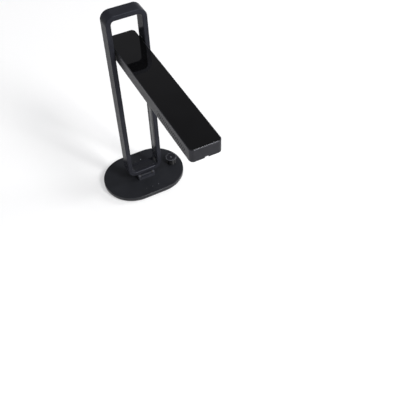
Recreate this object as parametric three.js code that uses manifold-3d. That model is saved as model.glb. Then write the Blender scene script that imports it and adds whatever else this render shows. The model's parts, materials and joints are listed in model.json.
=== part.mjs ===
// Folding overhead book scanner: a weighted oval base with a rotary knob, an upright loop of flat bar that
// folds forward at a block on the base, and a flat arm that tilts between the loop's rails and holds the
// camera and the light over the page. Millimetres, +Z up, the origin at the centre of the base's underside,
// +X to the right and -Y to the front, where the arm reaches.
import * as THREE from 'three';
import { mergeVertices } from 'three/addons/utils/BufferGeometryUtils.js';
import Module from 'manifold-3d';

const wasm = await Module();
wasm.setup();

// Clearances shared by all pieces
const seatGap = 0.1; // between two pieces that lie on each other
const fitGap = 0.3; // round a piece that is set into another
const runGap = 0.3; // beside a piece that turns or slides
const overrun = 1; // how far a cutter passes the face that it cuts
const samePoint = 0.01; // outline points closer than this are one

// Base cover: an oval shell with a flat top
const baseLength = 165.4;
const baseWidth = 119.7;
const baseHeight = 12.5;
const skirtRise = 2.2; // the skirt's lower edge above the table
const skirtUndercut = 1.6; // how far the skirt draws in at its foot
const undercutHeight = 3;
const rimChamfer = 0.7;
const coverWall = 2.2;
const coverTop = 2.2;

// Bottom plate, foot pad and the screws that hold the cover
const footThickness = 1.6;
const footInset = 4; // from the plate's edge to the pad's edge
const footBevel = 0.3;
const plateThickness = 2;
const bossRadius = 3;
const bossInset = 12.98; // from the base's rounded end to a boss
const bossTurnShare = 0.46; // place of a boss round the end, of a quarter turn
const baseScrewRadius = 1.3;
const baseScrewHeadRadius = 2.4;
const baseScrewHeadHeight = 0.9;
const baseScrewLength = 5.5;

// Ballast plate and boards inside the base
const ballastInset = 2.5; // from the cover's inner wall
const boardThickness = 1.2;
const mainBoardLeftInset = 42.7; // from the base's left end
const mainBoardRightInset = 52.7; // from the base's right end
const mainBoardRearInset = 9.85; // from the base's rear side
const mainBoardDepth = 26;
const chipSize = 9;
const chipHeight = 1.1;
const chipPitch = 15;
const touchBoardLength = 40;
const touchBoardWidth = 12;

// Inlet sockets in the rear wall
const powerSocketX = -10;
const powerSocketWidth = 9;
const powerWall = 0.4; // above and below the bore
const powerPinRadius = 0.8;
const dataSocketX = 10;
const dataSocketWidth = 9;
const dataSocketHeight = 3.2;
const dataSocketWall = 0.35;
const dataTongue = 0.7;
const socketDepth = 9;
const socketBack = 2; // wall at the inner end of a socket
const socketSet = 0.8; // how far a mouth stands back from the rear wall

// Light guides that end flush with the base top
const guideRadius = 0.8;
const touchInset = 16.55; // from the base's front side to the row of lights
const touchPitch = 13;
const statusLightX = 9.1;
const statusLightInset = 23.05; // from the base's rear side
const lightSensorX = -3.6;
const lightSensorInset = 24.15;

// Rotary knob and its encoder
const knobInset = 20.7; // from the base's right end to the knob's axis
const knobY = -1.5;
const knobRadius = 9.2;
const knobOverhang = 1.65; // of the wider top disc
const knobLift = 0.8; // clear space under the knob
const knobHeight = 14.7;
const knobFlange = 2.4; // height of the wider top disc
const knobEdge = 0.5; // chamfer of the top disc
const knobRim = 2.05; // ring round the inlaid disc
const knobInlayDepth = 0.6;
const knobPipRadius = 1;
const knobWall = 2.3;
const knobHollowDepth = 5.5;
const knobTravel = 0.5;
const encoderWidth = 12;
const encoderFloor = 0.6;
const encoderRoof = 0.9;
const encoderWall = 1.2;
const encoderBushRadius = 4;
const encoderBushRise = 3.2; // above the base top
const encoderNutWall = 1.6;
const encoderNutHeight = 2;
const shaftRadius = 2.5;
const rotorFootShare = 1 / 3; // clear of the room's height, under the rotor
const domeThickness = 0.3;
const domeRadius = 2.2;

// Upright loop of flat bar
const stemWidth = 70.7;
const stemRail = 8.57;
const stemDepth = 25.94;
const stemHeight = 356.55;
const stemCornerRadius = 15.5;
const stemEdge = 0.7; // chamfer of the long edges
const stemCentreY = -2;

// Cable channel inside the loop
const channelWidth = 12;
const channelDepth = 3;
const trimThickness = 1.2;
const cableWidth = 6;
const cableThickness = 0.8;
const cableSlot = 2.4;
const channelStop = 8; // from the channel's top to the arm's axis

// Fold hinge between base and loop
const foldSetback = 3; // from the loop's front plane back to the fold axis
const foldRise = 6.5; // from the base top up to the fold axis
const hingeRadius = 6; // ears round the pin
const barClearance = 1.35; // from the ears to the loop
const hingeLip = 1.2; // thinnest part of the front lip
const hingeHalfWidth = 17;
const hingeEar = 4;
const hingeWasher = 0.8;
const hingeDeck = 3.5; // thickness of the deck behind the pin
const hingeReach = 20; // from the fold axis back to the deck's end
const hingeFillet = 3;
const pinRadius = 2;
const pinInset = 0.4; // pin ends below the ears' faces
const screwRadius = 1.5;
const screwHeadRadius = 2.8;
const screwHeadHeight = 1.6;
const hingeScrewShare = 0.6; // place of the screws along the deck
const hingeScrewEdge = 4.1; // from the knuckle's side to each screw
const screwBite = 2.6; // length of thread in the piece that a screw holds
const screwEdgeShare = 1 / 3; // chamfer of a head, of its height

// Arm
const pivotDrop = 70.9; // from the loop's top down to the arm's axis
const pivotY = -3.5;
const armSideGap = 1.55; // between a rail and the arm
const foldClearance = 1.03; // between the folded arm and the loop's lower bar
const armRear = 31.1; // from the axis to the rear end
const armBelow = 12; // from the axis to the underside
const armTop = 10.7; // from the axis to the top
const armCornerRadius = 6.5;
const armWall = 2;
const armTopEdge = 0.5;
const armLowEdge = 0.8;
const panelInset = 1.3; // bright rim round the top panel
const panelThickness = 1.3;
const armRoof = 1.6;
const notchWidth = 6;
const notchHeight = 2.6;
const armCoverThickness = 1.5;
const armCoverSet = 0.4; // the bottom cover lies this far inside the housing
const armPostRadius = 3;
const armPostInset = 14.05; // from the arm's front end to the first cover screw
const armPostGap = 10; // from an end of the light to the screw beside it
const armPostRear = 9.1; // from the arm's rear end to the last screw
const armScrewRadius = 1.1;
const armScrewHeadRadius = 2.1;
const armScrewHeadHeight = 0.7;
const armScrewLength = 6;

// Vent holes low on both sides of the arm
const ventInset = 17.55; // from the arm's front end to the band
const ventLength = 90;
const ventRows = 3;
const ventRowPitch = 3.6;
const ventPitch = 4.5;
const ventRadius = 0.95;
const ventCentre = 2.6; // from the axis down to the band's middle
const ventSides = 6;

// Pivot of the arm
const pivotRadius = 2.9;
const pivotBoreRadius = 1.7;
const pivotHeadRadius = 5;
const pivotHeadHeight = 2;
const bushWall = 1.8;
const bushFlangeRadius = 7;
const bushBack = 2.17; // from a bush's end to the rail's outer face
const bracketPlate = 3;
const bracketLength = 20;
const bracketFlange = 12;
const bracketFlangeThickness = 1.5;

// Light and camera in the arm
const lightSetback = 48; // from the camera to the light's front end
const diffuserRear = 58;
const diffuserWidth = 26;
const diffuserRim = 1.2; // ledge that rests on the bottom cover
const diffuserWall = 1.2;
const diffuserHeight = 5.6;
const ledBoardThickness = 1;
const ledCount = 10;
const ledSize = 3;
const ledHeight = 0.7;
const cameraInset = 50.05; // from the arm's front end to the camera
const cameraRadius = 8;
const bezelRadius = 12;
const bezelFlange = 1.5;
const bezelFlangeHeight = 1;
const barrelWall = 1.4;
const barrelHeight = 10.4;
const lensSet = 0.8; // lens front behind the bezel's face
const lensBulge = 1.6;
const lensThickness = 3;
const cameraBoardWidth = 26;
const processorSideGap = 3.23; // to the housing's side wall
const processorPastFront = 1; // past the axis of the first screw's post
const processorPastRear = 9; // past the axis of the second screw's post
const sinkSideMargin = 6; // from the processor board's edges
const sinkEndMargin = 20;
const sinkBase = 1;
const sinkFins = 9;
const sinkFinThickness = 1;
const armCableRear = 10; // behind the arm's axis
const armCableLap = 10; // over the processor board

// Steps of round forms
const ovalSteps = 14; // a quarter of the base's outline
const cornerSteps = 6; // a quarter of a rounded corner
const roundSides = 20; // knob, bezel and other turned pieces
const rodSides = 12; // pins, screws and their bores
const lensSteps = 3; // from the lens's edge to its middle

// Heights inside the base
const plateBottom = footThickness + seatGap;
const plateTop = plateBottom + plateThickness;
const coverCeiling = baseHeight - coverTop;
const touchBoardBottom = coverCeiling - seatGap - boardThickness;
const ballastBottom = plateTop + seatGap;
const ballastTop = touchBoardBottom - fitGap;
const skirtInner = skirtUndercut + coverWall; // from the base's outline to the inner wall
const mainBoardTop = plateTop + seatGap + boardThickness;
const encoderBottom = plateTop + seatGap;
const encoderTop = coverCeiling - seatGap;

// Places on and in the base
const bossArc = baseWidth / 2 - bossInset;
const bossTurn = (bossTurnShare * Math.PI) / 2;
const bossReachX = (baseLength - baseWidth) / 2 + bossArc * Math.cos(bossTurn);
const bossReachY = bossArc * Math.sin(bossTurn);
const mainBoardLeft = mainBoardLeftInset - baseLength / 2;
const mainBoardRight = baseLength / 2 - mainBoardRightInset;
const mainBoardRear = baseWidth / 2 - mainBoardRearInset;
const mainBoardFront = mainBoardRear - mainBoardDepth;
const touchRowY = touchInset - baseWidth / 2;
const statusLightY = baseWidth / 2 - statusLightInset;
const lightSensorY = baseWidth / 2 - lightSensorInset;

// Knob and encoder radii
const knobX = baseLength / 2 - knobInset;
const knobTopRadius = knobRadius + knobOverhang;
const knobInlayRadius = knobTopRadius - knobRim;
const knobHollowRadius = knobRadius - knobWall;
const encoderCavityRadius = encoderWidth / 2 - encoderWall;
const encoderNutRadius = encoderBushRadius + encoderNutWall;

// Fold hinge places
const foldY = stemCentreY - stemDepth / 2 + foldSetback;
const foldZ = baseHeight + foldRise;
const barLift = hingeRadius + barClearance; // from the fold axis up to the loop
const barrelRadius = hingeRadius - hingeLip - runGap;
const troughRadius = barrelRadius + runGap;
const deckDrop = foldRise - hingeDeck; // from the fold axis down to the deck
const knuckleHalf = hingeHalfWidth - hingeEar - hingeWasher - 2 * runGap;
const screwSetback = hingeReach * hingeScrewShare; // from the fold axis to the screws
const hingeScrewSpread = knuckleHalf - hingeScrewEdge; // from the middle to each screw

// Loop and arm places
const stemBottom = foldZ + barLift;
const innerHalf = stemWidth / 2 - stemRail;
const innerRadius = Math.max(stemCornerRadius - stemRail, fitGap);
const pivotRise = stemHeight - pivotDrop; // from the loop's underside to the arm's axis
const channelTop = pivotRise - channelStop;
const bushDepth = stemRail - bushBack; // how far a bush goes into its rail
const armHalf = innerHalf - armSideGap;
const armReach = pivotRise - stemRail - foldClearance; // from the axis to the front end
const armMiddle = (armRear - armReach) / 2;
const armLength = armRear + armReach;
const panelBed = armTop - panelThickness - seatGap;
const roofUnderside = panelBed - armRoof;
const armCoverBottom = -armBelow + armCoverSet;
const armCoverTop = armCoverBottom + armCoverThickness;
const armInner = armHalf - armWall;
const ventFront = armReach - ventInset; // from the axis to the band's front end
const cameraReach = armReach - cameraInset; // from the axis to the camera
const diffuserFront = cameraReach - lightSetback;
const armPostPlaces = [
  armPostInset - armReach,
  -diffuserFront - armPostGap,
  -diffuserRear + armPostGap,
  armRear - armPostRear,
]; // along the arm from its axis
const processorFront = armPostPlaces[0] - processorPastFront;
const processorRear = armPostPlaces[1] + processorPastRear;
const processorHalf = armInner - processorSideGap;
const bushRadius = pivotRadius + runGap + bushWall;
const bracketTop = roofUnderside - seatGap;
const bracketDrop = pivotHeadRadius + runGap + bushWall; // plate below the arm's axis

// Finishes: colour, roughness and metalness of each material
const finishes = {
  anodised: { color: 0x2c2d31, roughness: 0.32, metalness: 0.8 },
  castCoat: { color: 0x26272a, roughness: 0.45, metalness: 0.4 },
  satin: { color: 0x3d3e42, roughness: 0.38, metalness: 0.6 },
  blackPlastic: { color: 0x17181a, roughness: 0.5, metalness: 0 },
  glossBlack: { color: 0x0a0a0c, roughness: 0.06, metalness: 0 },
  rubber: { color: 0x1b1b1b, roughness: 0.9, metalness: 0 },
  steel: { color: 0x9a9c9f, roughness: 0.35, metalness: 1 },
  brass: { color: 0xb08d4a, roughness: 0.35, metalness: 1 },
  bearing: { color: 0xd8d4c6, roughness: 0.5, metalness: 0 },
  board: { color: 0x1d4a2c, roughness: 0.55, metalness: 0 },
  aluminium: { color: 0xb4b6b8, roughness: 0.4, metalness: 1 },
  diffuser: { color: 0xe9e9e6, roughness: 0.6, metalness: 0 },
  lightGuide: { color: 0xdfe6ea, roughness: 0.3, metalness: 0 },
  lens: { color: 0x0d1420, roughness: 0.03, metalness: 0 },
  cable: { color: 0x202226, roughness: 0.7, metalness: 0 },
};

const axisX = new THREE.Vector3(1, 0, 0);
const axisY = new THREE.Vector3(0, 1, 0);
const axisZ = new THREE.Vector3(0, 0, 1);
const profileYZ = new THREE.Matrix4().makeBasis(axisY, axisZ, axisX); // extruded along +X
const profileXZ = new THREE.Matrix4().makeBasis(axisX, axisZ, axisY.clone().negate()); // along -Y

// Triangles of a welded geometry, without the ones that lost their area in the weld
function weldedTriangles(welded) {
  const corners = welded.index.array;
  const kept = [];
  for (let first = 0; first < corners.length; first += 3) {
    const [a, b, c] = corners.subarray(first, first + 3);
    if (a !== b && b !== c && c !== a) kept.push(a, b, c);
  }
  return kept;
}

// Six times the volume that the triangles enclose, negative when their faces point in
function signedVolume(places, triangles) {
  const [a, b, c] = [new THREE.Vector3(), new THREE.Vector3(), new THREE.Vector3()];
  let sum = 0;
  for (let first = 0; first < triangles.length; first += 3) {
    a.fromArray(places, 3 * triangles[first]);
    b.fromArray(places, 3 * triangles[first + 1]);
    c.fromArray(places, 3 * triangles[first + 2]);
    sum += a.dot(b.cross(c));
  }
  return sum;
}

// A closed solid, ready for joins and cuts, from a three.js geometry
function solid(geometry) {
  const bare = geometry.clone();
  bare.deleteAttribute('normal');
  bare.deleteAttribute('uv');
  const welded = mergeVertices(bare);
  const places = Float32Array.from(welded.attributes.position.array);
  const triangles = weldedTriangles(welded);
  if (signedVolume(places, triangles) < 0) triangles.reverse();
  const mesh = new wasm.Mesh({ numProp: 3, vertProperties: places, triVerts: Uint32Array.from(triangles) });
  return new wasm.Manifold(mesh);
}

// Joins solids into one
function joined(...solids) {
  return solids.reduce((sum, next) => sum.add(next));
}

// A body with every cutter taken away
function without(body, ...cutters) {
  return cutters.reduce((rest, cutter) => rest.subtract(cutter), body);
}

// A named mesh of one solid, in its own material
function piece(name, body, finish) {
  const mesh = body.getMesh();
  const geometry = new THREE.BufferGeometry();
  geometry.setAttribute('position', new THREE.BufferAttribute(Float32Array.from(mesh.vertProperties), 3));
  geometry.setIndex(new THREE.BufferAttribute(Uint32Array.from(mesh.triVerts), 1));
  geometry.computeVertexNormals();
  const material = new THREE.MeshStandardMaterial({ ...finishes[finish], flatShading: true });
  const part = new THREE.Mesh(geometry, material);
  part.name = name;
  return part;
}

// A block between two corners
function block(x0, x1, y0, y1, z0, z1) {
  const geometry = new THREE.BoxGeometry(x1 - x0, y1 - y0, z1 - z0);
  geometry.translate((x0 + x1) / 2, (y0 + y1) / 2, (z0 + z1) / 2);
  return solid(geometry);
}

// A round rod along Z, centred on (x, y)
function rodZ(radius, z0, z1, x = 0, y = 0, sides = rodSides) {
  const geometry = new THREE.CylinderGeometry(radius, radius, z1 - z0, sides);
  geometry.rotateX(Math.PI / 2);
  geometry.translate(x, y, (z0 + z1) / 2);
  return solid(geometry);
}

// A round rod along X, centred on (y, z)
function rodX(radius, x0, x1, y = 0, z = 0, sides = rodSides) {
  const geometry = new THREE.CylinderGeometry(radius, radius, x1 - x0, sides);
  geometry.rotateZ(Math.PI / 2);
  geometry.translate((x0 + x1) / 2, y, z);
  return solid(geometry);
}

// A round rod along Y, centred on (x, z)
function rodY(radius, y0, y1, x, z, sides = rodSides) {
  const geometry = new THREE.CylinderGeometry(radius, radius, y1 - y0, sides);
  geometry.translate(x, (y0 + y1) / 2, z);
  return solid(geometry);
}

// A turned piece along Z from a profile of [radius, height] pairs
function turned(profile, x = 0, y = 0, sides = roundSides) {
  const points = profile.map(([radius, height]) => new THREE.Vector2(radius, height));
  const geometry = new THREE.LatheGeometry(points, sides);
  geometry.rotateX(Math.PI / 2);
  geometry.translate(x, y, 0);
  return solid(geometry);
}

// Outline of a rounded rectangle about the origin, anticlockwise; with a radius of half its height, an oval
function roundedOutline(width, height, radius, steps) {
  const points = [];
  for (let quarter = 0; quarter < 4; quarter += 1) {
    const sideX = quarter === 0 || quarter === 3 ? 1 : -1;
    const sideY = quarter < 2 ? 1 : -1;
    for (let step = 0; step <= steps; step += 1) {
      const angle = ((quarter + step / steps) * Math.PI) / 2;
      const x = sideX * (width / 2 - radius) + radius * Math.cos(angle);
      const y = sideY * (height / 2 - radius) + radius * Math.sin(angle);
      const last = points.at(-1);
      const point = new THREE.Vector2(x, y);
      if (!last || last.distanceTo(point) > samePoint) points.push(point);
    }
  }
  if (points[0].distanceTo(points.at(-1)) < samePoint) points.pop();
  return points;
}

// A solid through level outlines: each level is [inset from the outline, height]
function lofted(outlineAt, levels) {
  const rings = levels.map(([inset]) => outlineAt(inset));
  const count = rings[0].length;
  const places = [];
  rings.forEach((ring, level) => ring.forEach((point) => places.push(point.x, point.y, levels[level][1])));
  const triangles = [];
  for (let level = 0; level + 1 < rings.length; level += 1) {
    for (let here = 0; here < count; here += 1) {
      const next = (here + 1) % count;
      const [low, high] = [level * count, (level + 1) * count];
      triangles.push(low + here, low + next, high + next);
      triangles.push(low + here, high + next, high + here);
    }
  }
  const top = (rings.length - 1) * count;
  for (const [a, b, c] of THREE.ShapeUtils.triangulateShape(rings[0], [])) triangles.push(c, b, a);
  for (const [a, b, c] of THREE.ShapeUtils.triangulateShape(rings.at(-1), [])) {
    triangles.push(top + a, top + b, top + c);
  }
  const geometry = new THREE.BufferGeometry();
  geometry.setAttribute('position', new THREE.Float32BufferAttribute(places, 3));
  geometry.setIndex(triangles);
  return solid(geometry);
}

// A flat plate of a rounded rectangle between two heights, about (x, y)
function plate(width, length, radius, z0, z1, x = 0, y = 0, steps = cornerSteps) {
  const outline = roundedOutline(width, length, radius, steps);
  outline.forEach((point) => point.add(new THREE.Vector2(x, y)));
  return lofted(() => outline, [[0, z0], [0, z1]]);
}

// An outline in the XZ plane extruded along Y, centred on y = 0, with chamfered long edges
function frameXZ(outline, depth, chamfer = 0) {
  const settings = { depth: depth - 2 * chamfer, bevelEnabled: chamfer > 0, bevelThickness: chamfer };
  settings.bevelSize = chamfer;
  settings.bevelOffset = -chamfer;
  settings.bevelSegments = 1;
  const geometry = new THREE.ExtrudeGeometry(outline, settings);
  geometry.translate(0, 0, chamfer - depth / 2);
  geometry.applyMatrix4(profileXZ);
  return solid(geometry);
}

// A shape in the YZ plane extruded along X from x0 to x1
function prismX(shape, x0, x1) {
  const settings = { depth: x1 - x0, bevelEnabled: false, curveSegments: rodSides };
  const geometry = new THREE.ExtrudeGeometry(shape, settings);
  geometry.translate(0, 0, x0);
  geometry.applyMatrix4(profileYZ);
  return solid(geometry);
}

// A pan-head screw along Z: its head's seat at z = seat, its thread towards the given side
function screw(x, y, seat, side, radius, headRadius, headHeight, length) {
  const edge = headHeight * screwEdgeShare;
  const thread = [[0, length], [radius, length], [radius, 0]];
  const head = [[headRadius, 0], [headRadius - edge, -headHeight], [0, -headHeight]];
  const profile = [...thread, ...head];
  return turned(profile.map(([r, h]) => [r, seat + side * h]), x, y, rodSides);
}

// Outline of the base at an inset from its edge
function baseOutline(inset) {
  const width = baseWidth - 2 * inset;
  return roundedOutline(baseLength - 2 * inset, width, width / 2, ovalSteps);
}

// Places of the four bosses that take the base screws
const bossPlaces = [
  [-bossReachX, -bossReachY],
  [bossReachX, -bossReachY],
  [-bossReachX, bossReachY],
  [bossReachX, bossReachY],
];

// Places of the light guides: name, x, y and the height of the board below
const guidePlaces = [
  ['touch_light_left', -touchPitch, touchRowY, touchBoardBottom + boardThickness],
  ['touch_light_middle', 0, touchRowY, touchBoardBottom + boardThickness],
  ['touch_light_right', touchPitch, touchRowY, touchBoardBottom + boardThickness],
  ['status_light', statusLightX, statusLightY, mainBoardTop],
  ['light_sensor', lightSensorX, lightSensorY, mainBoardTop],
];

// Slot that carries the flat cable down past the fold hinge into the base
function cableSlotCutter(z0, z1, y = stemCentreY) {
  const half = cableSlot / 2;
  const reach = cableWidth / 2 + fitGap;
  return block(-half, half, y - reach, y + reach, z0, z1);
}

function baseCover() {
  const outer = lofted(baseOutline, [
    [skirtUndercut, skirtRise],
    [0, skirtRise + undercutHeight],
    [0, baseHeight - rimChamfer],
    [rimChamfer, baseHeight],
  ]);
  const inner = lofted(baseOutline, [
    [skirtInner, skirtRise - overrun],
    [skirtInner, coverCeiling],
  ]);
  const bossTop = coverCeiling + overrun;
  const bosses = bossPlaces.map(([x, y]) => rodZ(bossRadius, plateTop + seatGap, bossTop, x, y));
  const bores = bossPlaces.map(([x, y]) => rodZ(baseScrewRadius + seatGap, plateBottom, coverCeiling, x, y));
  const holeTop = baseHeight + overrun;
  const guides = guidePlaces.map(([, x, y]) => rodZ(guideRadius + fitGap, mainBoardTop, holeTop, x, y));
  const encoder = rodZ(encoderBushRadius + fitGap, coverCeiling - overrun, holeTop, knobX, knobY);
  const reach = baseWidth / 2 + overrun;
  const powerTop = encoderTop - seatGap;
  const powerHalf = powerSocketWidth / 2 + fitGap;
  const powerX = [powerSocketX - powerHalf, powerSocketX + powerHalf];
  const power = block(...powerX, mainBoardRear, reach, plateTop, powerTop);
  const dataHalf = dataSocketWidth / 2 + fitGap;
  const dataTop = mainBoardTop + dataSocketHeight + seatGap + fitGap;
  const dataX = [dataSocketX - dataHalf, dataSocketX + dataHalf];
  const data = block(...dataX, mainBoardRear, reach, mainBoardTop - fitGap, dataTop);
  const screws = [-1, 1].map((side) => hingeScrewBore(side));
  const slot = cableSlotCutter(coverCeiling - overrun, baseHeight + overrun);
  const shell = joined(without(outer, inner), ...bosses);
  const cutters = [...bores, ...guides, encoder, power, data, ...screws, slot];
  return piece('base_cover', without(shell, ...cutters), 'castCoat');
}

// Through bore of a screw that holds the hinge saddle from below
function hingeScrewBore(side) {
  const y = foldY + screwSetback;
  const [low, high] = [coverCeiling - overrun, baseHeight + screwBite];
  return rodZ(screwRadius + seatGap, low, high, side * hingeScrewSpread, y);
}

function basePlate() {
  const outline = (inset) => baseOutline(skirtInner + fitGap + inset);
  const body = lofted(outline, [[0, plateBottom], [0, plateTop]]);
  const [low, high] = [plateBottom - overrun, plateTop + overrun];
  const bores = bossPlaces.map(([x, y]) => rodZ(baseScrewRadius + seatGap, low, high, x, y));
  const sinkTop = plateBottom + baseScrewHeadHeight;
  const sinks = bossPlaces.map(([x, y]) => rodZ(baseScrewHeadRadius + seatGap, low, sinkTop, x, y));
  return piece('base_plate', without(body, ...bores, ...sinks), 'blackPlastic');
}

function footPad() {
  const outline = (inset) => baseOutline(skirtInner + footInset + inset);
  const levels = [[footBevel, 0], [0, footBevel], [0, footThickness]];
  return piece('foot_pad', lofted(outline, levels), 'rubber');
}

function baseScrews() {
  const seat = plateBottom + baseScrewHeadHeight;
  const head = baseScrewHeadHeight - seatGap;
  const place = (x, y) => screw(x, y, seat, 1, baseScrewRadius, baseScrewHeadRadius, head, baseScrewLength);
  return bossPlaces.map(([x, y], count) => piece(`base_screw_${count + 1}`, place(x, y), 'steel'));
}

function ballastPlate() {
  const outline = (inset) => baseOutline(skirtInner + ballastInset + inset);
  const body = lofted(outline, [[0, ballastBottom], [0, ballastTop]]);
  const [low, high] = [ballastBottom - overrun, ballastTop + overrun];
  const margin = 2 * overrun;
  const rearX = [mainBoardLeft - margin, mainBoardRight + margin];
  const rear = block(...rearX, mainBoardFront - margin, baseWidth, low, high);
  const half = encoderWidth / 2 + margin;
  const encoder = block(knobX - half, baseLength, knobY - half, knobY + half, low, high);
  const bosses = bossPlaces.map(([x, y]) => rodZ(bossRadius + fitGap, low, high, x, y));
  const wires = cableSlotCutter(low, high);
  const wellFloor = coverCeiling - seatGap - screwHeadHeight - fitGap;
  const y = foldY + screwSetback;
  const well = (side) => rodZ(screwHeadRadius + fitGap, wellFloor, high, side * hingeScrewSpread, y);
  const wells = [-1, 1].map((side) => well(side));
  return piece('ballast_plate', without(body, rear, encoder, ...bosses, wires, ...wells), 'steel');
}

function mainBoard() {
  const bottom = plateTop + seatGap;
  const board = block(mainBoardLeft, mainBoardRight, mainBoardFront, mainBoardRear, bottom, mainBoardTop);
  const half = powerSocketWidth / 2 + fitGap;
  const cutX = [powerSocketX - half, powerSocketX + half];
  const cut = block(...cutX, mainBoardRear - socketDepth, baseWidth, 0, baseHeight);
  const chips = [];
  for (let x = mainBoardLeft + chipSize; x + chipSize < powerSocketX; x += chipPitch) {
    const y = mainBoardFront + chipSize / 2;
    const chipX = [x - chipSize / 2, x + chipSize / 2];
    chips.push(block(...chipX, y, y + chipSize, mainBoardTop, mainBoardTop + chipHeight));
  }
  return piece('main_board', joined(without(board, cut), ...chips), 'board');
}

function powerSocket() {
  const half = powerSocketWidth / 2;
  const mouth = baseWidth / 2 - socketSet;
  const back = mainBoardRear - socketDepth + fitGap;
  const bottom = plateTop + seatGap;
  const top = encoderTop - seatGap - fitGap;
  const middle = (bottom + top) / 2;
  const boreRadius = (top - bottom) / 2 - powerWall;
  const body = block(powerSocketX - half, powerSocketX + half, back, mouth, bottom, top);
  const bore = rodY(boreRadius, back + socketBack, mouth + overrun, powerSocketX, middle);
  const pin = rodY(powerPinRadius, back + socketBack - overrun, mouth - overrun, powerSocketX, middle);
  return piece('power_socket', joined(without(body, bore), pin), 'blackPlastic');
}

function dataSocket() {
  const half = dataSocketWidth / 2;
  const mouth = baseWidth / 2 - socketSet;
  const back = mouth - socketDepth;
  const bottom = mainBoardTop + seatGap;
  const top = bottom + dataSocketHeight;
  const middle = (bottom + top) / 2;
  const shellOf = (inset, y0, y1) => {
    const height = dataSocketHeight - 2 * inset;
    const outline = roundedOutline(2 * (half - inset), height, height / 2, cornerSteps);
    const tube = frameXZ(new THREE.Shape(outline), y1 - y0);
    return tube.translate([dataSocketX, (y0 + y1) / 2, middle]);
  };
  const body = shellOf(0, back, mouth);
  const bore = shellOf(dataSocketWall, back + socketBack, mouth + overrun);
  const reach = half - dataSocketHeight / 2;
  const [left, right] = [dataSocketX - reach, dataSocketX + reach];
  const tongueZ = [middle - dataTongue / 2, middle + dataTongue / 2];
  const tongue = block(left, right, back + overrun, mouth - overrun, ...tongueZ);
  return piece('data_socket', joined(without(body, bore), tongue), 'steel');
}

function touchBoard() {
  const [halfX, halfY] = [touchBoardLength / 2, touchBoardWidth / 2];
  const top = touchBoardBottom + boardThickness;
  const board = block(-halfX, halfX, touchRowY - halfY, touchRowY + halfY, touchBoardBottom, top);
  return piece('touch_board', board, 'board');
}

function lightGuides() {
  const guide = (x, y, board) => rodZ(guideRadius, board + seatGap, baseHeight, x, y, rodSides);
  return guidePlaces.map(([name, x, y, board]) => piece(name, guide(x, y, board), 'lightGuide'));
}

// Housing of the encoder: a can with a round room for the rotor and a bush that comes through the base top
function encoderBody() {
  const half = encoderWidth / 2;
  const can = block(-half, half, -half, half, encoderBottom, encoderTop);
  const bush = rodZ(encoderBushRadius, encoderTop - overrun, baseHeight + encoderBushRise);
  const room = rodZ(encoderCavityRadius, encoderBottom + encoderFloor, encoderTop - encoderRoof);
  const mouth = baseHeight + encoderBushRise + overrun;
  const bore = rodZ(shaftRadius + runGap, encoderBottom + encoderFloor, mouth);
  return piece('encoder_body', without(joined(can, bush), room, bore).translate([knobX, knobY, 0]), 'steel');
}

function switchDome() {
  const bottom = encoderBottom + encoderFloor + seatGap;
  const profile = [
    [0, bottom],
    [domeRadius, bottom],
    [domeRadius, bottom + seatGap],
    [0, bottom + domeThickness],
  ];
  return piece('switch_dome', turned(profile, knobX, knobY, rodSides), 'steel');
}

function encoderNut() {
  const bottom = baseHeight + seatGap;
  const hexagon = rodZ(encoderNutRadius, bottom, bottom + encoderNutHeight, 0, 0, 6);
  const bore = rodZ(encoderBushRadius + seatGap, baseHeight, bottom + encoderNutHeight + overrun);
  return piece('encoder_nut', without(hexagon, bore).translate([knobX, knobY, 0]), 'steel');
}

// Saddle of the fold hinge, about the fold axis: a trough for the knuckle's barrel with a front lip, a flat
// deck behind it, and an ear at each end that holds the pin
function hingeSaddle() {
  const trough = new THREE.Shape();
  const exit = Math.asin(deckDrop / troughRadius);
  trough.moveTo(-hingeRadius, -foldRise);
  trough.lineTo(-hingeRadius, 0);
  trough.lineTo(-troughRadius, 0);
  trough.absarc(0, 0, troughRadius, Math.PI, 2 * Math.PI - exit, false);
  trough.lineTo(hingeReach, -deckDrop);
  trough.lineTo(hingeReach, -foldRise);
  trough.closePath();
  const ear = new THREE.Shape();
  ear.moveTo(-hingeRadius, -foldRise);
  ear.lineTo(-hingeRadius, 0);
  ear.absarc(0, 0, hingeRadius, Math.PI, 0, true);
  ear.quadraticCurveTo(hingeRadius, -deckDrop, hingeRadius + hingeFillet, -deckDrop);
  ear.lineTo(hingeReach, -deckDrop);
  ear.lineTo(hingeReach, -foldRise);
  ear.closePath();
  const inner = hingeHalfWidth - hingeEar;
  const body = joined(
    prismX(trough, -inner - seatGap, inner + seatGap),
    prismX(ear, -hingeHalfWidth, -inner),
    prismX(ear, inner, hingeHalfWidth),
  );
  const bore = rodX(pinRadius + seatGap, -hingeHalfWidth - overrun, hingeHalfWidth + overrun);
  const placed = without(body, bore).translate([0, foldY, foldZ]);
  const screws = [-1, 1].map((side) => hingeScrewBore(side));
  const slot = cableSlotCutter(baseHeight - overrun, foldZ);
  return piece('hinge_saddle', without(placed, ...screws, slot), 'anodised');
}

function hingePin() {
  const half = hingeHalfWidth - pinInset;
  return piece('hinge_pin', rodX(pinRadius, -half, half, foldY, foldZ), 'steel');
}

function hingeWashers() {
  const inside = knuckleHalf + runGap;
  const washer = (x0) => {
    const disc = rodX(barrelRadius, x0, x0 + hingeWasher, foldY, foldZ);
    return disc.subtract(rodX(pinRadius + runGap, x0 - overrun, x0 + hingeWasher + overrun, foldY, foldZ));
  };
  return [
    piece('hinge_washer_left', washer(-inside - hingeWasher), 'brass'),
    piece('hinge_washer_right', washer(inside), 'brass'),
  ];
}

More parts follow.
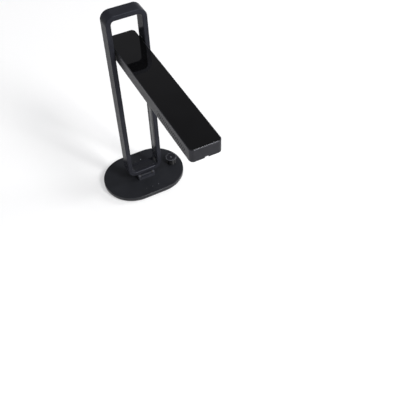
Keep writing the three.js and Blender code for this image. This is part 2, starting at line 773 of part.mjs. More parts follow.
function saddleScrews() {
  const length = coverTop + screwBite - seatGap;
  const head = screwHeadHeight;
  const y = foldY + screwSetback;
  const place = (x) => screw(x, y, coverCeiling - seatGap, 1, screwRadius, screwHeadRadius, head, length);
  return [
    piece('saddle_screw_left', place(-hingeScrewSpread), 'steel'),
    piece('saddle_screw_right', place(hingeScrewSpread), 'steel'),
  ];
}

function baseAssembly() {
  const base = new THREE.Group();
  base.add(baseCover(), basePlate(), footPad(), ...baseScrews(), ballastPlate());
  base.add(mainBoard(), powerSocket(), dataSocket(), touchBoard(), ...lightGuides());
  base.add(encoderBody(), switchDome(), encoderNut());
  base.add(hingeSaddle(), hingePin(), ...hingeWashers(), ...saddleScrews());
  return base;
}

// The knob and its shaft are drawn about the knob's axis, with z = 0 at the base top
function encoderRotor() {
  const bottom = encoderBottom + encoderFloor - baseHeight;
  const top = encoderTop - encoderRoof - baseHeight;
  const [low, high] = [bottom + (top - bottom) * rotorFootShare, top - runGap];
  const disc = rodZ(encoderCavityRadius - runGap, low, high);
  const bore = rodZ(shaftRadius + seatGap, low - overrun, high + overrun);
  return piece('encoder_rotor', disc.subtract(bore), 'blackPlastic');
}

function encoderShaft() {
  const bottom = encoderBottom + encoderFloor + seatGap + domeThickness + knobTravel + seatGap - baseHeight;
  const top = knobLift + knobHeight - knobFlange - seatGap;
  return piece('encoder_shaft', rodZ(shaftRadius, bottom, top), 'steel');
}

function knobBody() {
  const top = knobLift + knobHeight;
  const flangeBottom = top - knobFlange;
  const hollow = knobLift + knobHollowDepth;
  const bore = shaftRadius + seatGap;
  const floor = top - knobInlayDepth - seatGap;
  const profile = [
    [0, flangeBottom],
    [bore, flangeBottom],
    [bore, hollow],
    [knobHollowRadius, hollow],
    [knobHollowRadius, knobLift],
    [knobRadius - knobEdge, knobLift],
    [knobRadius, knobLift + knobEdge],
    [knobRadius, flangeBottom],
    [knobTopRadius - knobEdge, flangeBottom],
    [knobTopRadius, flangeBottom + knobEdge],
    [knobTopRadius, top - knobEdge],
    [knobTopRadius - knobEdge, top],
    [knobInlayRadius, top],
    [knobInlayRadius, floor],
    [0, floor],
  ];
  return piece('knob', turned(profile), 'glossBlack');
}

function knobInlay() {
  const top = knobLift + knobHeight;
  const bottom = top - knobInlayDepth;
  const disc = rodZ(knobInlayRadius - seatGap, bottom, top, 0, 0, roundSides);
  const bore = rodZ(knobPipRadius + seatGap, bottom - overrun, top + overrun);
  return piece('knob_inlay', disc.subtract(bore), 'satin');
}

function knobPip() {
  const top = knobLift + knobHeight;
  return piece('knob_pip', rodZ(knobPipRadius, top - knobInlayDepth, top), 'lightGuide');
}

function knobAssembly() {
  const knob = new THREE.Group();
  knob.position.set(knobX, knobY, baseHeight);
  knob.add(encoderRotor(), encoderShaft(), knobBody(), knobInlay(), knobPip());
  return knob;
}

// The loop is drawn about the middle of its underside. Outline of the loop's window, widened by an offset
function windowOutline(offset) {
  const [width, height] = [2 * (innerHalf + offset), stemHeight - 2 * (stemRail - offset)];
  const outline = roundedOutline(width, height, innerRadius + offset, cornerSteps);
  outline.forEach((point) => point.add(new THREE.Vector2(0, stemHeight / 2)));
  return outline;
}

// The space inside the widened window, up to a height: its difference from a narrower one lines the loop's
// lower bar and rails like a U
function windowBody(offset, width, top) {
  const reach = stemWidth / 2;
  const body = frameXZ(new THREE.Shape(windowOutline(offset)), width);
  return body.intersect(block(-reach, reach, -width, width, 0, top));
}

function stemFrame() {
  const outer = roundedOutline(stemWidth, stemHeight, stemCornerRadius, cornerSteps);
  outer.forEach((point) => point.add(new THREE.Vector2(0, stemHeight / 2)));
  const loop = new THREE.Shape(outer);
  loop.holes.push(new THREE.Path(windowOutline(0)));
  const channel = windowBody(channelDepth, channelWidth, channelTop);
  const pivot = pivotY - stemCentreY;
  const depth = innerHalf + bushDepth + seatGap;
  const bores = [
    rodX(bushRadius + seatGap, -depth, -innerHalf + channelDepth, pivot, pivotRise),
    rodX(bushRadius + seatGap, innerHalf - channelDepth, depth, pivot, pivotRise),
  ];
  const screws = [-1, 1].map((side) => knuckleScrewBore(side));
  const slot = cableSlotCutter(-overrun, stemRail, 0);
  const cutters = [channel, ...bores, ...screws, slot];
  return piece('stem_frame', without(frameXZ(loop, stemDepth, stemEdge), ...cutters), 'anodised');
}

// Bore and head room of a screw that holds the knuckle from above, below the channel's floor
function knuckleScrewBore(side) {
  const [x, y] = [side * hingeScrewSpread, foldY + screwSetback - stemCentreY];
  const floor = stemRail - channelDepth;
  const head = rodZ(screwHeadRadius + seatGap, floor - screwHeadHeight, floor + overrun, x, y);
  return joined(head, rodZ(screwRadius + seatGap, -screwBite - barClearance, floor, x, y));
}

function channelTrim() {
  const lining = windowBody(trimThickness, channelWidth - 2 * fitGap, channelTop - fitGap);
  return piece('channel_trim', lining.subtract(windowBody(0, stemDepth, channelTop)), 'blackPlastic');
}

// Flat cable: up through the lower bar, along it to the right, and up the right rail to the arm's pivot
function stemCable() {
  const near = trimThickness + seatGap;
  const far = near + cableThickness;
  const top = channelTop - 2 * fitGap;
  const ring = windowBody(far, cableWidth, top).subtract(windowBody(near, stemDepth, channelTop));
  const half = cableThickness / 2;
  const room = block(-half, stemWidth, -stemDepth, stemDepth, 0, channelTop);
  const leg = block(-half, half, -cableWidth / 2, cableWidth / 2, -barLift + runGap, stemRail - near - half);
  return piece('stem_cable', joined(ring.intersect(room), leg), 'cable');
}

// Knuckle under the loop: a barrel round the pin, and a block behind it that carries the loop's lower bar and
// comes to rest on the saddle's deck
function hingeKnuckle() {
  const top = barLift - seatGap;
  const shape = new THREE.Shape();
  const heel = deckDrop - runGap;
  const start = Math.asin(heel / barrelRadius);
  const front = 2 * runGap;
  const rise = Math.acos(front / barrelRadius);
  shape.moveTo(front, top);
  shape.lineTo(front, barrelRadius * Math.sin(rise));
  shape.absarc(0, 0, barrelRadius, rise, 2 * Math.PI - start, false);
  shape.lineTo(hingeReach, -heel);
  shape.lineTo(hingeReach, top);
  shape.closePath();
  const bore = rodX(pinRadius + runGap, -hingeHalfWidth, hingeHalfWidth);
  const body = prismX(shape, -knuckleHalf, knuckleHalf).subtract(bore);
  const placed = body.translate([0, foldY - stemCentreY, -barLift]);
  const screws = [-1, 1].map((side) => knuckleScrewBore(side));
  const slot = cableSlotCutter(-barLift - foldRise, overrun, 0);
  return piece('hinge_knuckle', without(placed, ...screws, slot), 'anodised');
}

function knuckleScrews() {
  const floor = stemRail - channelDepth - screwHeadHeight;
  const length = floor + screwBite;
  const y = foldY + screwSetback - stemCentreY;
  const head = screwHeadHeight - seatGap;
  const place = (x) => screw(x, y, floor + seatGap, -1, screwRadius, screwHeadRadius, head, length);
  return [
    piece('knuckle_screw_left', place(-hingeScrewSpread), 'steel'),
    piece('knuckle_screw_right', place(hingeScrewSpread), 'steel'),
  ];
}

// Flanged bush in a rail: side is -1 on the left and 1 on the right
function pivotBush(name, side) {
  const flange = armSideGap - runGap;
  const [inside, outside] = [innerHalf - flange, innerHalf + bushDepth];
  const profile = [
    [pivotRadius + runGap, inside],
    [bushFlangeRadius, inside],
    [bushFlangeRadius, innerHalf - seatGap],
    [bushRadius, innerHalf - seatGap],
    [bushRadius, outside],
    [pivotRadius + runGap, outside],
    [pivotRadius + runGap, inside],
  ];
  const bush = turned(profile, 0, 0, rodSides).rotate([0, side * 90, 0]);
  return piece(name, bush.translate([0, pivotY - stemCentreY, pivotRise]), 'bearing');
}

function stemAssembly() {
  const stem = new THREE.Group();
  stem.position.set(0, stemCentreY, stemBottom);
  stem.add(stemFrame(), channelTrim(), stemCable(), hingeKnuckle(), ...knuckleScrews());
  stem.add(pivotBush('pivot_bush_left', -1), pivotBush('pivot_bush_right', 1));
  return stem;
}

// The arm is drawn about its axis. Outline of the arm at an inset from its edge
function armOutline(inset) {
  const radius = Math.max(armCornerRadius - inset, fitGap);
  const outline = roundedOutline(2 * (armHalf - inset), armLength - 2 * inset, radius, cornerSteps);
  outline.forEach((point) => point.add(new THREE.Vector2(0, armMiddle)));
  return outline;
}

// Rows of holes through both side walls, every second row shifted by half a pitch
function ventCutters() {
  const cutters = [];
  for (let row = 0; row < ventRows; row += 1) {
    const z = -ventCentre + (row - (ventRows - 1) / 2) * ventRowPitch;
    const shift = (row % 2) * (ventPitch / 2);
    for (let along = shift; along <= ventLength; along += ventPitch) {
      const y = -ventFront + along;
      cutters.push(rodX(ventRadius, -armHalf - overrun, -armInner + overrun, y, z, ventSides));
      cutters.push(rodX(ventRadius, armInner - overrun, armHalf + overrun, y, z, ventSides));
    }
  }
  return cutters;
}

// Places of the posts that take the cover screws, on the arm's middle line
function armPosts(radius, z0, z1) {
  return armPostPlaces.map((y) => rodZ(radius, z0, z1, 0, y));
}

function armHousing() {
  const outer = lofted(armOutline, [
    [armLowEdge, -armBelow],
    [0, -armBelow + armLowEdge],
    [0, armTop - armTopEdge],
    [armTopEdge, armTop],
  ]);
  const room = lofted((inset) => armOutline(armWall + inset), [[0, -armBelow - overrun], [0, roofUnderside]]);
  const bed = lofted((inset) => armOutline(panelInset + inset), [[0, panelBed], [0, armTop + overrun]]);
  const posts = armPosts(armPostRadius, armCoverTop + seatGap, roofUnderside + overrun / 2);
  const bores = armPosts(armScrewRadius + seatGap, armCoverBottom, armCoverTop + armScrewLength);
  const pivot = rodX(pivotRadius + seatGap, -armHalf - overrun, armHalf + overrun);
  const half = notchWidth / 2;
  const notchTop = -armBelow + notchHeight;
  const notchY = [-armReach - overrun, -armReach + armWall + overrun];
  const notch = block(-half, half, ...notchY, -armBelow - overrun, notchTop);
  const tray = joined(without(outer, room, bed), ...posts);
  return piece('arm_housing', without(tray, ...bores, pivot, notch, ...ventCutters()), 'satin');
}

function armTopPanel() {
  const outline = (inset) => armOutline(panelInset + seatGap + inset);
  return piece('arm_top_panel', lofted(outline, [[0, panelBed + seatGap], [0, armTop]]), 'glossBlack');
}

function armBottomCover() {
  const outline = (inset) => armOutline(armWall + fitGap + inset);
  const body = lofted(outline, [[0, armCoverBottom], [0, armCoverTop]]);
  const [low, high] = [armCoverBottom - overrun, armCoverTop + overrun];
  const length = diffuserFront - diffuserRear;
  const middle = -(diffuserFront + diffuserRear) / 2;
  const light = plate(diffuserWidth, length, diffuserWall, low, high, 0, middle);
  const camera = rodZ(bezelRadius + seatGap, low, high, 0, -cameraReach, roundSides);
  const bores = armPosts(armScrewRadius + seatGap, low, high);
  const sinks = armPosts(armScrewHeadRadius + seatGap, low, armCoverBottom + armScrewHeadHeight);
  return piece('arm_bottom_cover', without(body, light, camera, ...bores, ...sinks), 'blackPlastic');
}

function armScrews() {
  const seat = armCoverBottom + armScrewHeadHeight;
  const head = armScrewHeadHeight - seatGap;
  const length = armScrewLength - overrun;
  const place = (y) => screw(0, y, seat, 1, armScrewRadius, armScrewHeadRadius, head, length);
  return armPostPlaces.map((y, count) => piece(`arm_screw_${count + 1}`, place(y), 'steel'));
}

// Diffuser: a tray whose floor shows through the bottom cover and whose rim carries the light board
function lightDiffuser() {
  const length = diffuserFront - diffuserRear;
  const middle = -(diffuserFront + diffuserRear) / 2;
  const [low, rim] = [armCoverBottom, armCoverTop + seatGap];
  const top = rim + diffuserHeight;
  const [wide, long] = [diffuserWidth + 2 * diffuserRim, length + 2 * diffuserRim];
  const [openWide, openLong] = [diffuserWidth - 2 * fitGap, length - 2 * fitGap];
  const window = plate(openWide, openLong, diffuserWall, low, rim + overrun, 0, middle);
  const walls = plate(wide, long, 2 * diffuserWall, rim, top, 0, middle);
  const [roomWide, roomLong] = [wide - 2 * diffuserWall, long - 2 * diffuserWall];
  const room = plate(roomWide, roomLong, diffuserWall, rim + diffuserWall, top + overrun, 0, middle);
  return piece('light_diffuser', without(joined(window, walls), room), 'diffuser');
}

function ledBoard() {
  const length = diffuserFront - diffuserRear + 2 * diffuserRim;
  const middle = -(diffuserFront + diffuserRear) / 2;
  const bottom = armCoverTop + 2 * seatGap + diffuserHeight;
  const half = (diffuserWidth + 2 * diffuserRim) / 2;
  const [y0, y1] = [middle - length / 2, middle + length / 2];
  const board = block(-half, half, y0, y1, bottom, bottom + ledBoardThickness);
  const leds = [];
  for (let count = 0; count < ledCount; count += 1) {
    const y = middle + ((count + 0.5) / ledCount - 0.5) * (length - diffuserWidth / 2);
    leds.push(block(-ledSize / 2, ledSize / 2, y - ledSize / 2, y + ledSize / 2, bottom - ledHeight, bottom));
  }
  return piece('led_board', joined(board, ...leds), 'board');
}

// Ring that closes the camera's hole in the bottom cover, with a flange inside
function cameraBezel() {
  const rim = armCoverTop + seatGap;
  const profile = [
    [cameraRadius, -armBelow],
    [bezelRadius - armTopEdge, -armBelow],
    [bezelRadius - seatGap, -armBelow + armTopEdge],
    [bezelRadius - seatGap, rim],
    [bezelRadius + bezelFlange, rim],
    [bezelRadius + bezelFlange, rim + bezelFlangeHeight],
    [cameraRadius, rim + bezelFlangeHeight],
    [cameraRadius, -armBelow],
  ];
  return piece('camera_bezel', turned(profile, 0, -cameraReach), 'glossBlack');
}

// Barrel inside the bezel, open below, closed by its board above
function cameraBarrel() {
  const radius = cameraRadius - fitGap;
  const bottom = -armBelow + lensSet;
  const top = bottom + barrelHeight;
  const bore = radius - barrelWall;
  const profile = [[bore, bottom], [radius, bottom], [radius, top], [bore, top], [bore, bottom]];
  return piece('camera_barrel', turned(profile, 0, -cameraReach), 'blackPlastic');
}

// Front lens, its lower face bulging towards the page
function cameraLens() {
  const radius = cameraRadius - fitGap - barrelWall - seatGap;
  const edge = -armBelow + lensSet + lensBulge;
  const profile = [[0, edge + lensThickness], [radius, edge + lensThickness], [radius, edge]];
  for (let step = 1; step <= lensSteps; step += 1) {
    const share = step / lensSteps;
    const angle = (share * Math.PI) / 2;
    profile.push([radius * Math.cos(angle), edge - lensBulge * Math.sin(angle)]);
  }
  profile[profile.length - 1][0] = 0;
  return piece('camera_lens', turned(profile, 0, -cameraReach), 'lens');
}

// Height of the camera board and of the processor board that lies on it
const cameraBoardBottom = -armBelow + lensSet + barrelHeight + seatGap;
const processorBottom = cameraBoardBottom + boardThickness + seatGap;
const processorTop = processorBottom + boardThickness;

function cameraBoard() {
  const half = cameraBoardWidth / 2;
  const top = cameraBoardBottom + boardThickness;
  const board = block(-half, half, -cameraReach - half, -cameraReach + half, cameraBoardBottom, top);
  return piece('camera_board', board, 'board');
}

function processorBoard() {
  const half = processorHalf;
  const board = block(-half, half, processorFront, processorRear, processorBottom, processorTop);
  const holes = armPosts(armPostRadius + fitGap, processorBottom - overrun, processorTop + overrun);
  return piece('processor_board', without(board, ...holes), 'board');
}

// Heat sink: a plate with upright fins along the arm
function heatSink() {
  const half = processorHalf - sinkSideMargin;
  const bottom = processorTop + seatGap;
  const [y0, y1] = [processorFront + sinkEndMargin, processorRear - sinkEndMargin];
  const body = block(-half, half, y0, y1, bottom, bottom + sinkBase);
  const fins = [];
  for (let count = 0; count < sinkFins; count += 1) {
    const x = -half + (count / (sinkFins - 1)) * (2 * half - sinkFinThickness);
    fins.push(block(x, x + sinkFinThickness, y0, y1, bottom + sinkBase / 2, roofUnderside - seatGap));
  }
  return piece('heat_sink', joined(body, ...fins), 'aluminium');
}

// Bracket that holds a pivot shaft inside the arm: a plate by the side wall and a flange under the roof
function pivotBracket(name, side) {
  const outside = armInner - fitGap;
  const inside = outside - bracketPlate;
  const half = bracketLength / 2;
  const plateX = [side * inside, side * outside].sort((a, b) => a - b);
  const flangeX = [side * (outside - bracketFlange), side * outside].sort((a, b) => a - b);
  const upright = block(...plateX, -half, half, -bracketDrop, bracketTop);
  const flange = block(...flangeX, -half, half, bracketTop - bracketFlangeThickness, bracketTop);
  const boreX = [side * (inside - overrun), side * (outside + overrun)].sort((a, b) => a - b);
  const bore = rodX(pivotRadius + seatGap, ...boreX);
  return piece(name, joined(upright, flange).subtract(bore), 'steel');
}

// Hollow shaft: a head inside the bracket, then out through the arm's wall and the bush into the rail
function pivotShaft(name, side) {
  const headOutside = armInner - fitGap - bracketPlate - seatGap;
  const end = innerHalf + bushDepth - seatGap;
  const profile = [
    [pivotBoreRadius, headOutside - pivotHeadHeight],
    [pivotHeadRadius, headOutside - pivotHeadHeight],
    [pivotHeadRadius, headOutside],
    [pivotRadius, headOutside],
    [pivotRadius, end],
    [pivotBoreRadius, end],
    [pivotBoreRadius, headOutside - pivotHeadHeight],
  ];
  return piece(name, turned(profile, 0, 0, rodSides).rotate([0, side * 90, 0]), 'steel');
}

// Flat cable under the arm's roof, from the pivot to the processor board
function armCable() {
  const top = bracketTop - bracketFlangeThickness - seatGap;
  const x = armInner / 2;
  const half = cableWidth / 2;
  const front = processorRear - armCableLap;
  const body = block(x - half, x + half, front, armCableRear, top - cableThickness, top);
  return piece('arm_cable', body, 'cable');
}

function armAssembly() {
  const arm = new THREE.Group();
  arm.position.set(0, pivotY, stemBottom + pivotRise);
  arm.add(armHousing(), armTopPanel(), armBottomCover(), ...armScrews());
  arm.add(lightDiffuser(), ledBoard(), cameraBezel(), cameraBarrel(), cameraLens(), cameraBoard());
  arm.add(processorBoard(), heatSink(), armCable());
  arm.add(pivotBracket('pivot_bracket_left', -1), pivotBracket('pivot_bracket_right', 1));
  arm.add(pivotShaft('pivot_shaft_left', -1), pivotShaft('pivot_shaft_right', 1));
  return arm;
}

const scanner = new THREE.Group();
scanner.add(baseAssembly(), knobAssembly(), stemAssembly(), armAssembly());

export default scanner;
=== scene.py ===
"""Folding overhead book scanner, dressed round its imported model.

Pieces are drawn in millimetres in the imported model's own frame and brought to metres when they are finished.
"""

from __future__ import annotations

import json
import logging
import math
from collections.abc import Callable, Iterable, Sequence
from dataclasses import dataclass
from enum import Enum

import bmesh
import bpy
from mathutils import Matrix, Vector


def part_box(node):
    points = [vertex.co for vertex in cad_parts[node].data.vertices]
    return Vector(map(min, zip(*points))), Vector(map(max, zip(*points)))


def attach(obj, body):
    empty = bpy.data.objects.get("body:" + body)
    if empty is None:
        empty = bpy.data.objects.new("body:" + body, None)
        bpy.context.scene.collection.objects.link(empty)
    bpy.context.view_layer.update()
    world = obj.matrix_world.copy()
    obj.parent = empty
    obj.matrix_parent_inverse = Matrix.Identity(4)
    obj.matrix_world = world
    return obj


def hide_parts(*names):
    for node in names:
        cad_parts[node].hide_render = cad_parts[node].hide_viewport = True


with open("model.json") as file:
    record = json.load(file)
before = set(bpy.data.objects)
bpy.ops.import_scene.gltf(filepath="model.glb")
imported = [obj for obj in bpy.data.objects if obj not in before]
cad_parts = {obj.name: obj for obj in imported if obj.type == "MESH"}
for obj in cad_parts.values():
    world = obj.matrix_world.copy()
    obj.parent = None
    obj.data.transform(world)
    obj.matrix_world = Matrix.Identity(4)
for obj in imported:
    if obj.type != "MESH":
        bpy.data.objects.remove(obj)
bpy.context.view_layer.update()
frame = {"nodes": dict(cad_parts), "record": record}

MM = 0.001

# The digits kept of the frame's lengths, gaps below which points are one, and a cut's overrun, in millimetres
FRAME_DIGITS = 4
CLOSE_POINT = 0.001
SAME_POINT = 0.004
SAME_PLACE = 0.01
SLIVER = 0.016
OVERRUN = 1.0

# Limits of angles and of a normal's parts, and how much larger faces count in the shading
SMOOTH_BELOW = math.radians(40)
FLAT_BELOW = math.radians(0.5)
ALONG = 0.999
FACES_UP = 0.5
ACROSS = 0.3
STANDS_UPRIGHT = 0.1
EVEN_WEIGHT = 80

# How many faces make a rounding, a quarter of the oval, a corner or a full turn
CHAMFER_STEPS = 1
EDGE_STEPS = 3
WIDE_STEPS = 4
CORNER_STEPS = 14
QUARTER_STEPS = 40
SMALL_STEPS = 32
SCREW_STEPS = 36
ROD_STEPS = 48
FINE_STEPS = 64
ROUND_STEPS = 96

log = logging.getLogger("book_scanner")

Point = tuple[float, float, float]
Pair = tuple[float, float]
Colour = tuple[float, float, float]
Edge = bmesh.types.BMEdge
Face = bmesh.types.BMFace
Mesh = bmesh.types.BMesh
Object = bpy.types.Object
Socket = bpy.types.NodeSocket
Tree = bpy.types.NodeTree

UP: Point = (0.0, 0.0, 1.0)
DOWN: Point = (0.0, 0.0, -1.0)


def neat(value: float) -> float:
    """Rounds a length in millimetres, so that sums of the frame's numbers come out even."""
    return round(value, FRAME_DIGITS)


@dataclass(frozen=True)
class Span:
    """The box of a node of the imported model, in millimetres."""

    low: Point
    high: Point

    @classmethod
    def of(cls, node: str) -> Span:
        """Reads a node's box from the frame."""
        return cls(*(tuple(neat(value / MM) for value in corner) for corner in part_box(node)))

    @property
    def size(self) -> Point:
        """The box's extent along each axis."""
        return tuple(neat(high - low) for low, high in zip(self.low, self.high))

    @property
    def middle(self) -> Point:
        """The box's centre."""
        return tuple(neat((low + high) / 2.0) for low, high in zip(self.low, self.high))

    def inside(self, other: Span) -> float:
        """Gives how far the box's side lies inside another box's."""
        return neat(other.high[0] - self.high[0])

    @property
    def plan(self) -> Pair:
        """The box's centre seen from above."""
        return self.middle[:2]

    @property
    def side(self) -> Pair:
        """The box's centre seen from the side, along X."""
        return self.middle[1:]

    @property
    def axis(self) -> Point:
        """A point on the upright line through the box's centre, in metres."""
        x, y = self.plan
        return (x * MM, y * MM, 0.0)


COVER = Span.of("base_cover")
PLATE = Span.of("base_plate")
FOOT = Span.of("foot_pad")
KNOB = Span.of("knob")
INLAY = Span.of("knob_inlay")
PIP = Span.of("knob_pip")
SADDLE = Span.of("hinge_saddle")
PIN = Span.of("hinge_pin")
WASHER = Span.of("hinge_washer_left")
KNUCKLE = Span.of("hinge_knuckle")
LOOP = Span.of("stem_frame")
TRIM = Span.of("channel_trim")
BUSH = Span.of("pivot_bush_right")
PIVOT = Span.of("pivot_shaft_left").side
HOUSING = Span.of("arm_housing")
PANEL = Span.of("arm_top_panel")
ARM_COVER = Span.of("arm_bottom_cover")
LIGHT = Span.of("light_diffuser")
BEZEL = Span.of("camera_bezel")
BARREL = Span.of("camera_barrel")
LENS = Span.of("camera_lens")


class Axis(Enum):
    """A direction of the model's frame, by its place in a coordinate."""

    X = 0
    Y = 1
    Z = 2


class Carving(Enum):
    """What a second solid does to the first."""

    CUT = "DIFFERENCE"
    JOIN = "UNION"


class Grain(Enum):
    """The kinds of surface texture on the scanner's finishes."""

    POWDER = "fine powder coat"
    EXTRUDED = "anodised bar with faint draw lines"
    BLASTED = "bead-blasted housing"
    POLISHED = "polished panel with faint smears"
    MOULDED = "spark-eroded plastic"
    TREAD = "rubber"
    BRUSHED = "brushed metal"
    SPUN = "turned face with fine rings"
    TURNED = "turned side with fine grooves"
    TRACED = "circuit board with tracks"
    OPAL = "light diffuser with fine prisms"
    STRIPED = "flat cable with conductors"


# Finishes

# Shapes of grain, settings of bands, the bands' pitch at scale 1, and octaves of noise
EVEN: Point = (1.0, 1.0, 1.0)
DRAW_LINES: Point = (1.0, 1.0, 40.0)
BRUSH_LINES: Point = (30.0, 1.0, 1.0)
RINGS = {"wave_type": "RINGS", "rings_direction": "Z"}
GROOVES = {"wave_type": "BANDS", "bands_direction": "Z"}
STRIPES = {"wave_type": "BANDS", "bands_direction": "Y"}
WAVE_PITCH = math.pi / 10.0
LINE_DETAIL = 3.0
FINE_DETAIL = 4.0
DRIFT_DETAIL = 5.0


def put(node: bpy.types.Node, values: dict[str, float | tuple[float, ...]]) -> None:
    """Sets a node's inputs to plain values, by the inputs' names."""
    for name, value in values.items():
        node.inputs[name].default_value = value


@dataclass(frozen=True)
class Finish:
    """A finish of the scanner, made as one procedural material.

    Sizes of grain, drift and smears are in metres, because the finished pieces are.
    """

    title: str
    slot: str
    colour: Colour
    grain: Grain
    metallic: float = 0.0
    roughness: float = 0.5
    specular: float = 0.5
    edge_tint: float = 1.0
    coat: float = 0.0
    coat_roughness: float = 0.05
    grain_size: float = 0.0004
    grain_depth: float = 0.000004
    tone_spread: float = 0.12
    gloss_spread: float = 0.06
    least_roughness: float = 0.02
    second: Colour = (0.2, 0.2, 0.2)
    stretch: float = 0.0
    stretch_turn: float = 0.25
    centre: Point = (0.0, 0.0, 0.0)
    drift_size: float = 0.03
    drift_range: Pair = (0.35, 0.65)
    track_range: Pair = (0.42, 0.5)
    smear_size: float = 0.018
    smear_shape: Point = (1.0, 2.5, 1.0)
    smear_range: Pair = (0.3, 0.7)

    def pattern(
        self, tree: Tree, kind: str, output: str, values: dict[str, float],
        shape: Point = EVEN, options: dict[str, str] | None = None,
    ) -> Socket:
        """Adds a pattern on object coordinates that start at the finish's centre.

        Args:
            tree: The material's nodes.
            kind: The kind of the texture's node.
            output: The name of the wanted output.
            values: The node's inputs.
            shape: How much longer the pattern's features are along each axis.
            options: The node's own settings.

        Returns:
            The pattern's value.
        """
        source = tree.nodes.new("ShaderNodeTexCoord")
        mapping = tree.nodes.new("ShaderNodeMapping")
        put(mapping, {"Location": tuple(-c for c in self.centre), "Scale": tuple(1.0 / s for s in shape)})
        tree.links.new(source.outputs["Object"], mapping.inputs["Vector"])
        texture = tree.nodes.new(kind)
        for name, option in (options or {}).items():
            setattr(texture, name, option)
        put(texture, values)
        tree.links.new(mapping.outputs["Vector"], texture.inputs["Vector"])
        return texture.outputs[output]

    def noise(self, tree: Tree, size: float, detail: float, shape: Point = EVEN) -> Socket:
        """Adds noise with features of a size in metres and octaves of finer detail."""
        return self.pattern(tree, "ShaderNodeTexNoise", "Fac", {"Scale": 1.0 / size, "Detail": detail}, shape)

    def cells(self, tree: Tree, metric: str = "EUCLIDEAN") -> Socket:
        """Adds small cells as wide as the grain, whose shape the metric sets."""
        scale = {"Scale": 1.0 / self.grain_size}
        return self.pattern(tree, "ShaderNodeTexVoronoi", "Distance", scale, options={"distance": metric})

    def bands(self, tree: Tree, options: dict[str, str]) -> Socket:
        """Adds even bands, or rings round the finish's centre, each as wide as the grain."""
        scale = {"Scale": WAVE_PITCH / self.grain_size}
        return self.pattern(tree, "ShaderNodeTexWave", "Fac", scale, options=options)

    def relief(self, tree: Tree) -> Socket:
        """Adds the pattern that stands for the finish's fine relief.

        Args:
            tree: The material's nodes.

        Returns:
            The height of the relief, from 0 to 1.
        """
        match self.grain:
            case Grain.EXTRUDED:
                return self.noise(tree, self.grain_size, LINE_DETAIL, DRAW_LINES)
            case Grain.BRUSHED:
                return self.noise(tree, self.grain_size, LINE_DETAIL, BRUSH_LINES)
            case Grain.MOULDED | Grain.OPAL:
                return self.cells(tree)
            case Grain.TRACED:
                return self.cells(tree, "MANHATTAN")
            case Grain.SPUN:
                return self.bands(tree, RINGS)
            case Grain.TURNED:
                return self.bands(tree, GROOVES)
            case Grain.STRIPED:
                return self.bands(tree, STRIPES)
            case _:
                return self.noise(tree, self.grain_size, FINE_DETAIL)

    def tones(self, tree: Tree, height: Socket) -> Socket:
        """Adds the finish's colours, which drift slowly over the surface.

        Args:
            tree: The material's nodes.
            height: The finish's fine relief, for finishes whose colour follows it.

        Returns:
            The colour.
        """
        ramp = tree.nodes.new("ShaderNodeValToRGB")
        dark, light = ramp.color_ramp.elements
        dark.color = (*(c * (1.0 - self.tone_spread) for c in self.colour), 1.0)
        if self.grain in (Grain.TRACED, Grain.STRIPED):
            light.color = (*self.second, 1.0)
            dark.position, light.position = self.track_range
            tree.links.new(height, ramp.inputs["Fac"])
        else:
            light.color = (*(c * (1.0 + self.tone_spread) for c in self.colour), 1.0)
            dark.position, light.position = self.drift_range
            tree.links.new(self.noise(tree, self.drift_size, DRIFT_DETAIL), ramp.inputs["Fac"])
        return ramp.outputs["Color"]

    def material(self) -> bpy.types.Material:
        """Makes the finish's material once, and gives the same one after that.

        Returns:
            The material.
        """
        if self.title in bpy.data.materials:
            return bpy.data.materials[self.title]
        made = bpy.data.materials.new(self.title)
        made.use_nodes = True
        tree = made.node_tree
        shader = tree.nodes["Principled BSDF"]
        put(shader, {
            "Metallic": self.metallic,
            "Specular IOR Level": self.specular,
            "Specular Tint": (self.edge_tint, self.edge_tint, self.edge_tint, 1.0),
            "Coat Weight": self.coat,
            "Coat Roughness": self.coat_roughness,
            "Anisotropic": self.stretch,
            "Anisotropic Rotation": self.stretch_turn,
        })
        height = self.relief(tree)
        tree.links.new(self.tones(tree, height), shader.inputs["Base Color"])
        low, high = self.smear_range
        gloss = tree.nodes.new("ShaderNodeMapRange")
        put(gloss, {
            "From Min": low,
            "From Max": high,
            "To Min": max(self.roughness - self.gloss_spread, self.least_roughness),
            "To Max": self.roughness + self.gloss_spread,
        })
        smears = self.noise(tree, self.smear_size, FINE_DETAIL, self.smear_shape)
        tree.links.new(smears, gloss.inputs["Value"])
        tree.links.new(gloss.outputs["Result"], shader.inputs["Roughness"])
        bump = tree.nodes.new("ShaderNodeBump")
        put(bump, {"Strength": 1.0, "Distance": self.grain_depth})
        tree.links.new(height, bump.inputs["Height"])
        tree.links.new(bump.outputs["Normal"], shader.inputs["Normal"])
        return made


CAST_COAT = Finish(
    "powder_coat", "cast_coat", (0.0138, 0.0146, 0.0174), Grain.POWDER, roughness=0.38, specular=0.2,
    grain_size=0.0005, grain_depth=0.000008,
)
ANODISED = Finish(
    "anodised_bar", "anodised_frame", (0.0228, 0.0236, 0.029), Grain.EXTRUDED, metallic=0.15,
    roughness=0.24, specular=0.03, edge_tint=0.32, grain_size=0.0009, grain_depth=0.000002,
    gloss_spread=0.03,
)
# The saddle's coat: the frame's coat made lighter, as painted light on the saddle
HINGE_COAT_PAINTED_LIGHT = Finish(
    "hinge_coat_painted_light", "anodised_frame", (0.03, 0.031, 0.038), Grain.BLASTED, metallic=0.1, specular=0.2,
    grain_depth=0.000006, gloss_spread=0.04,
)
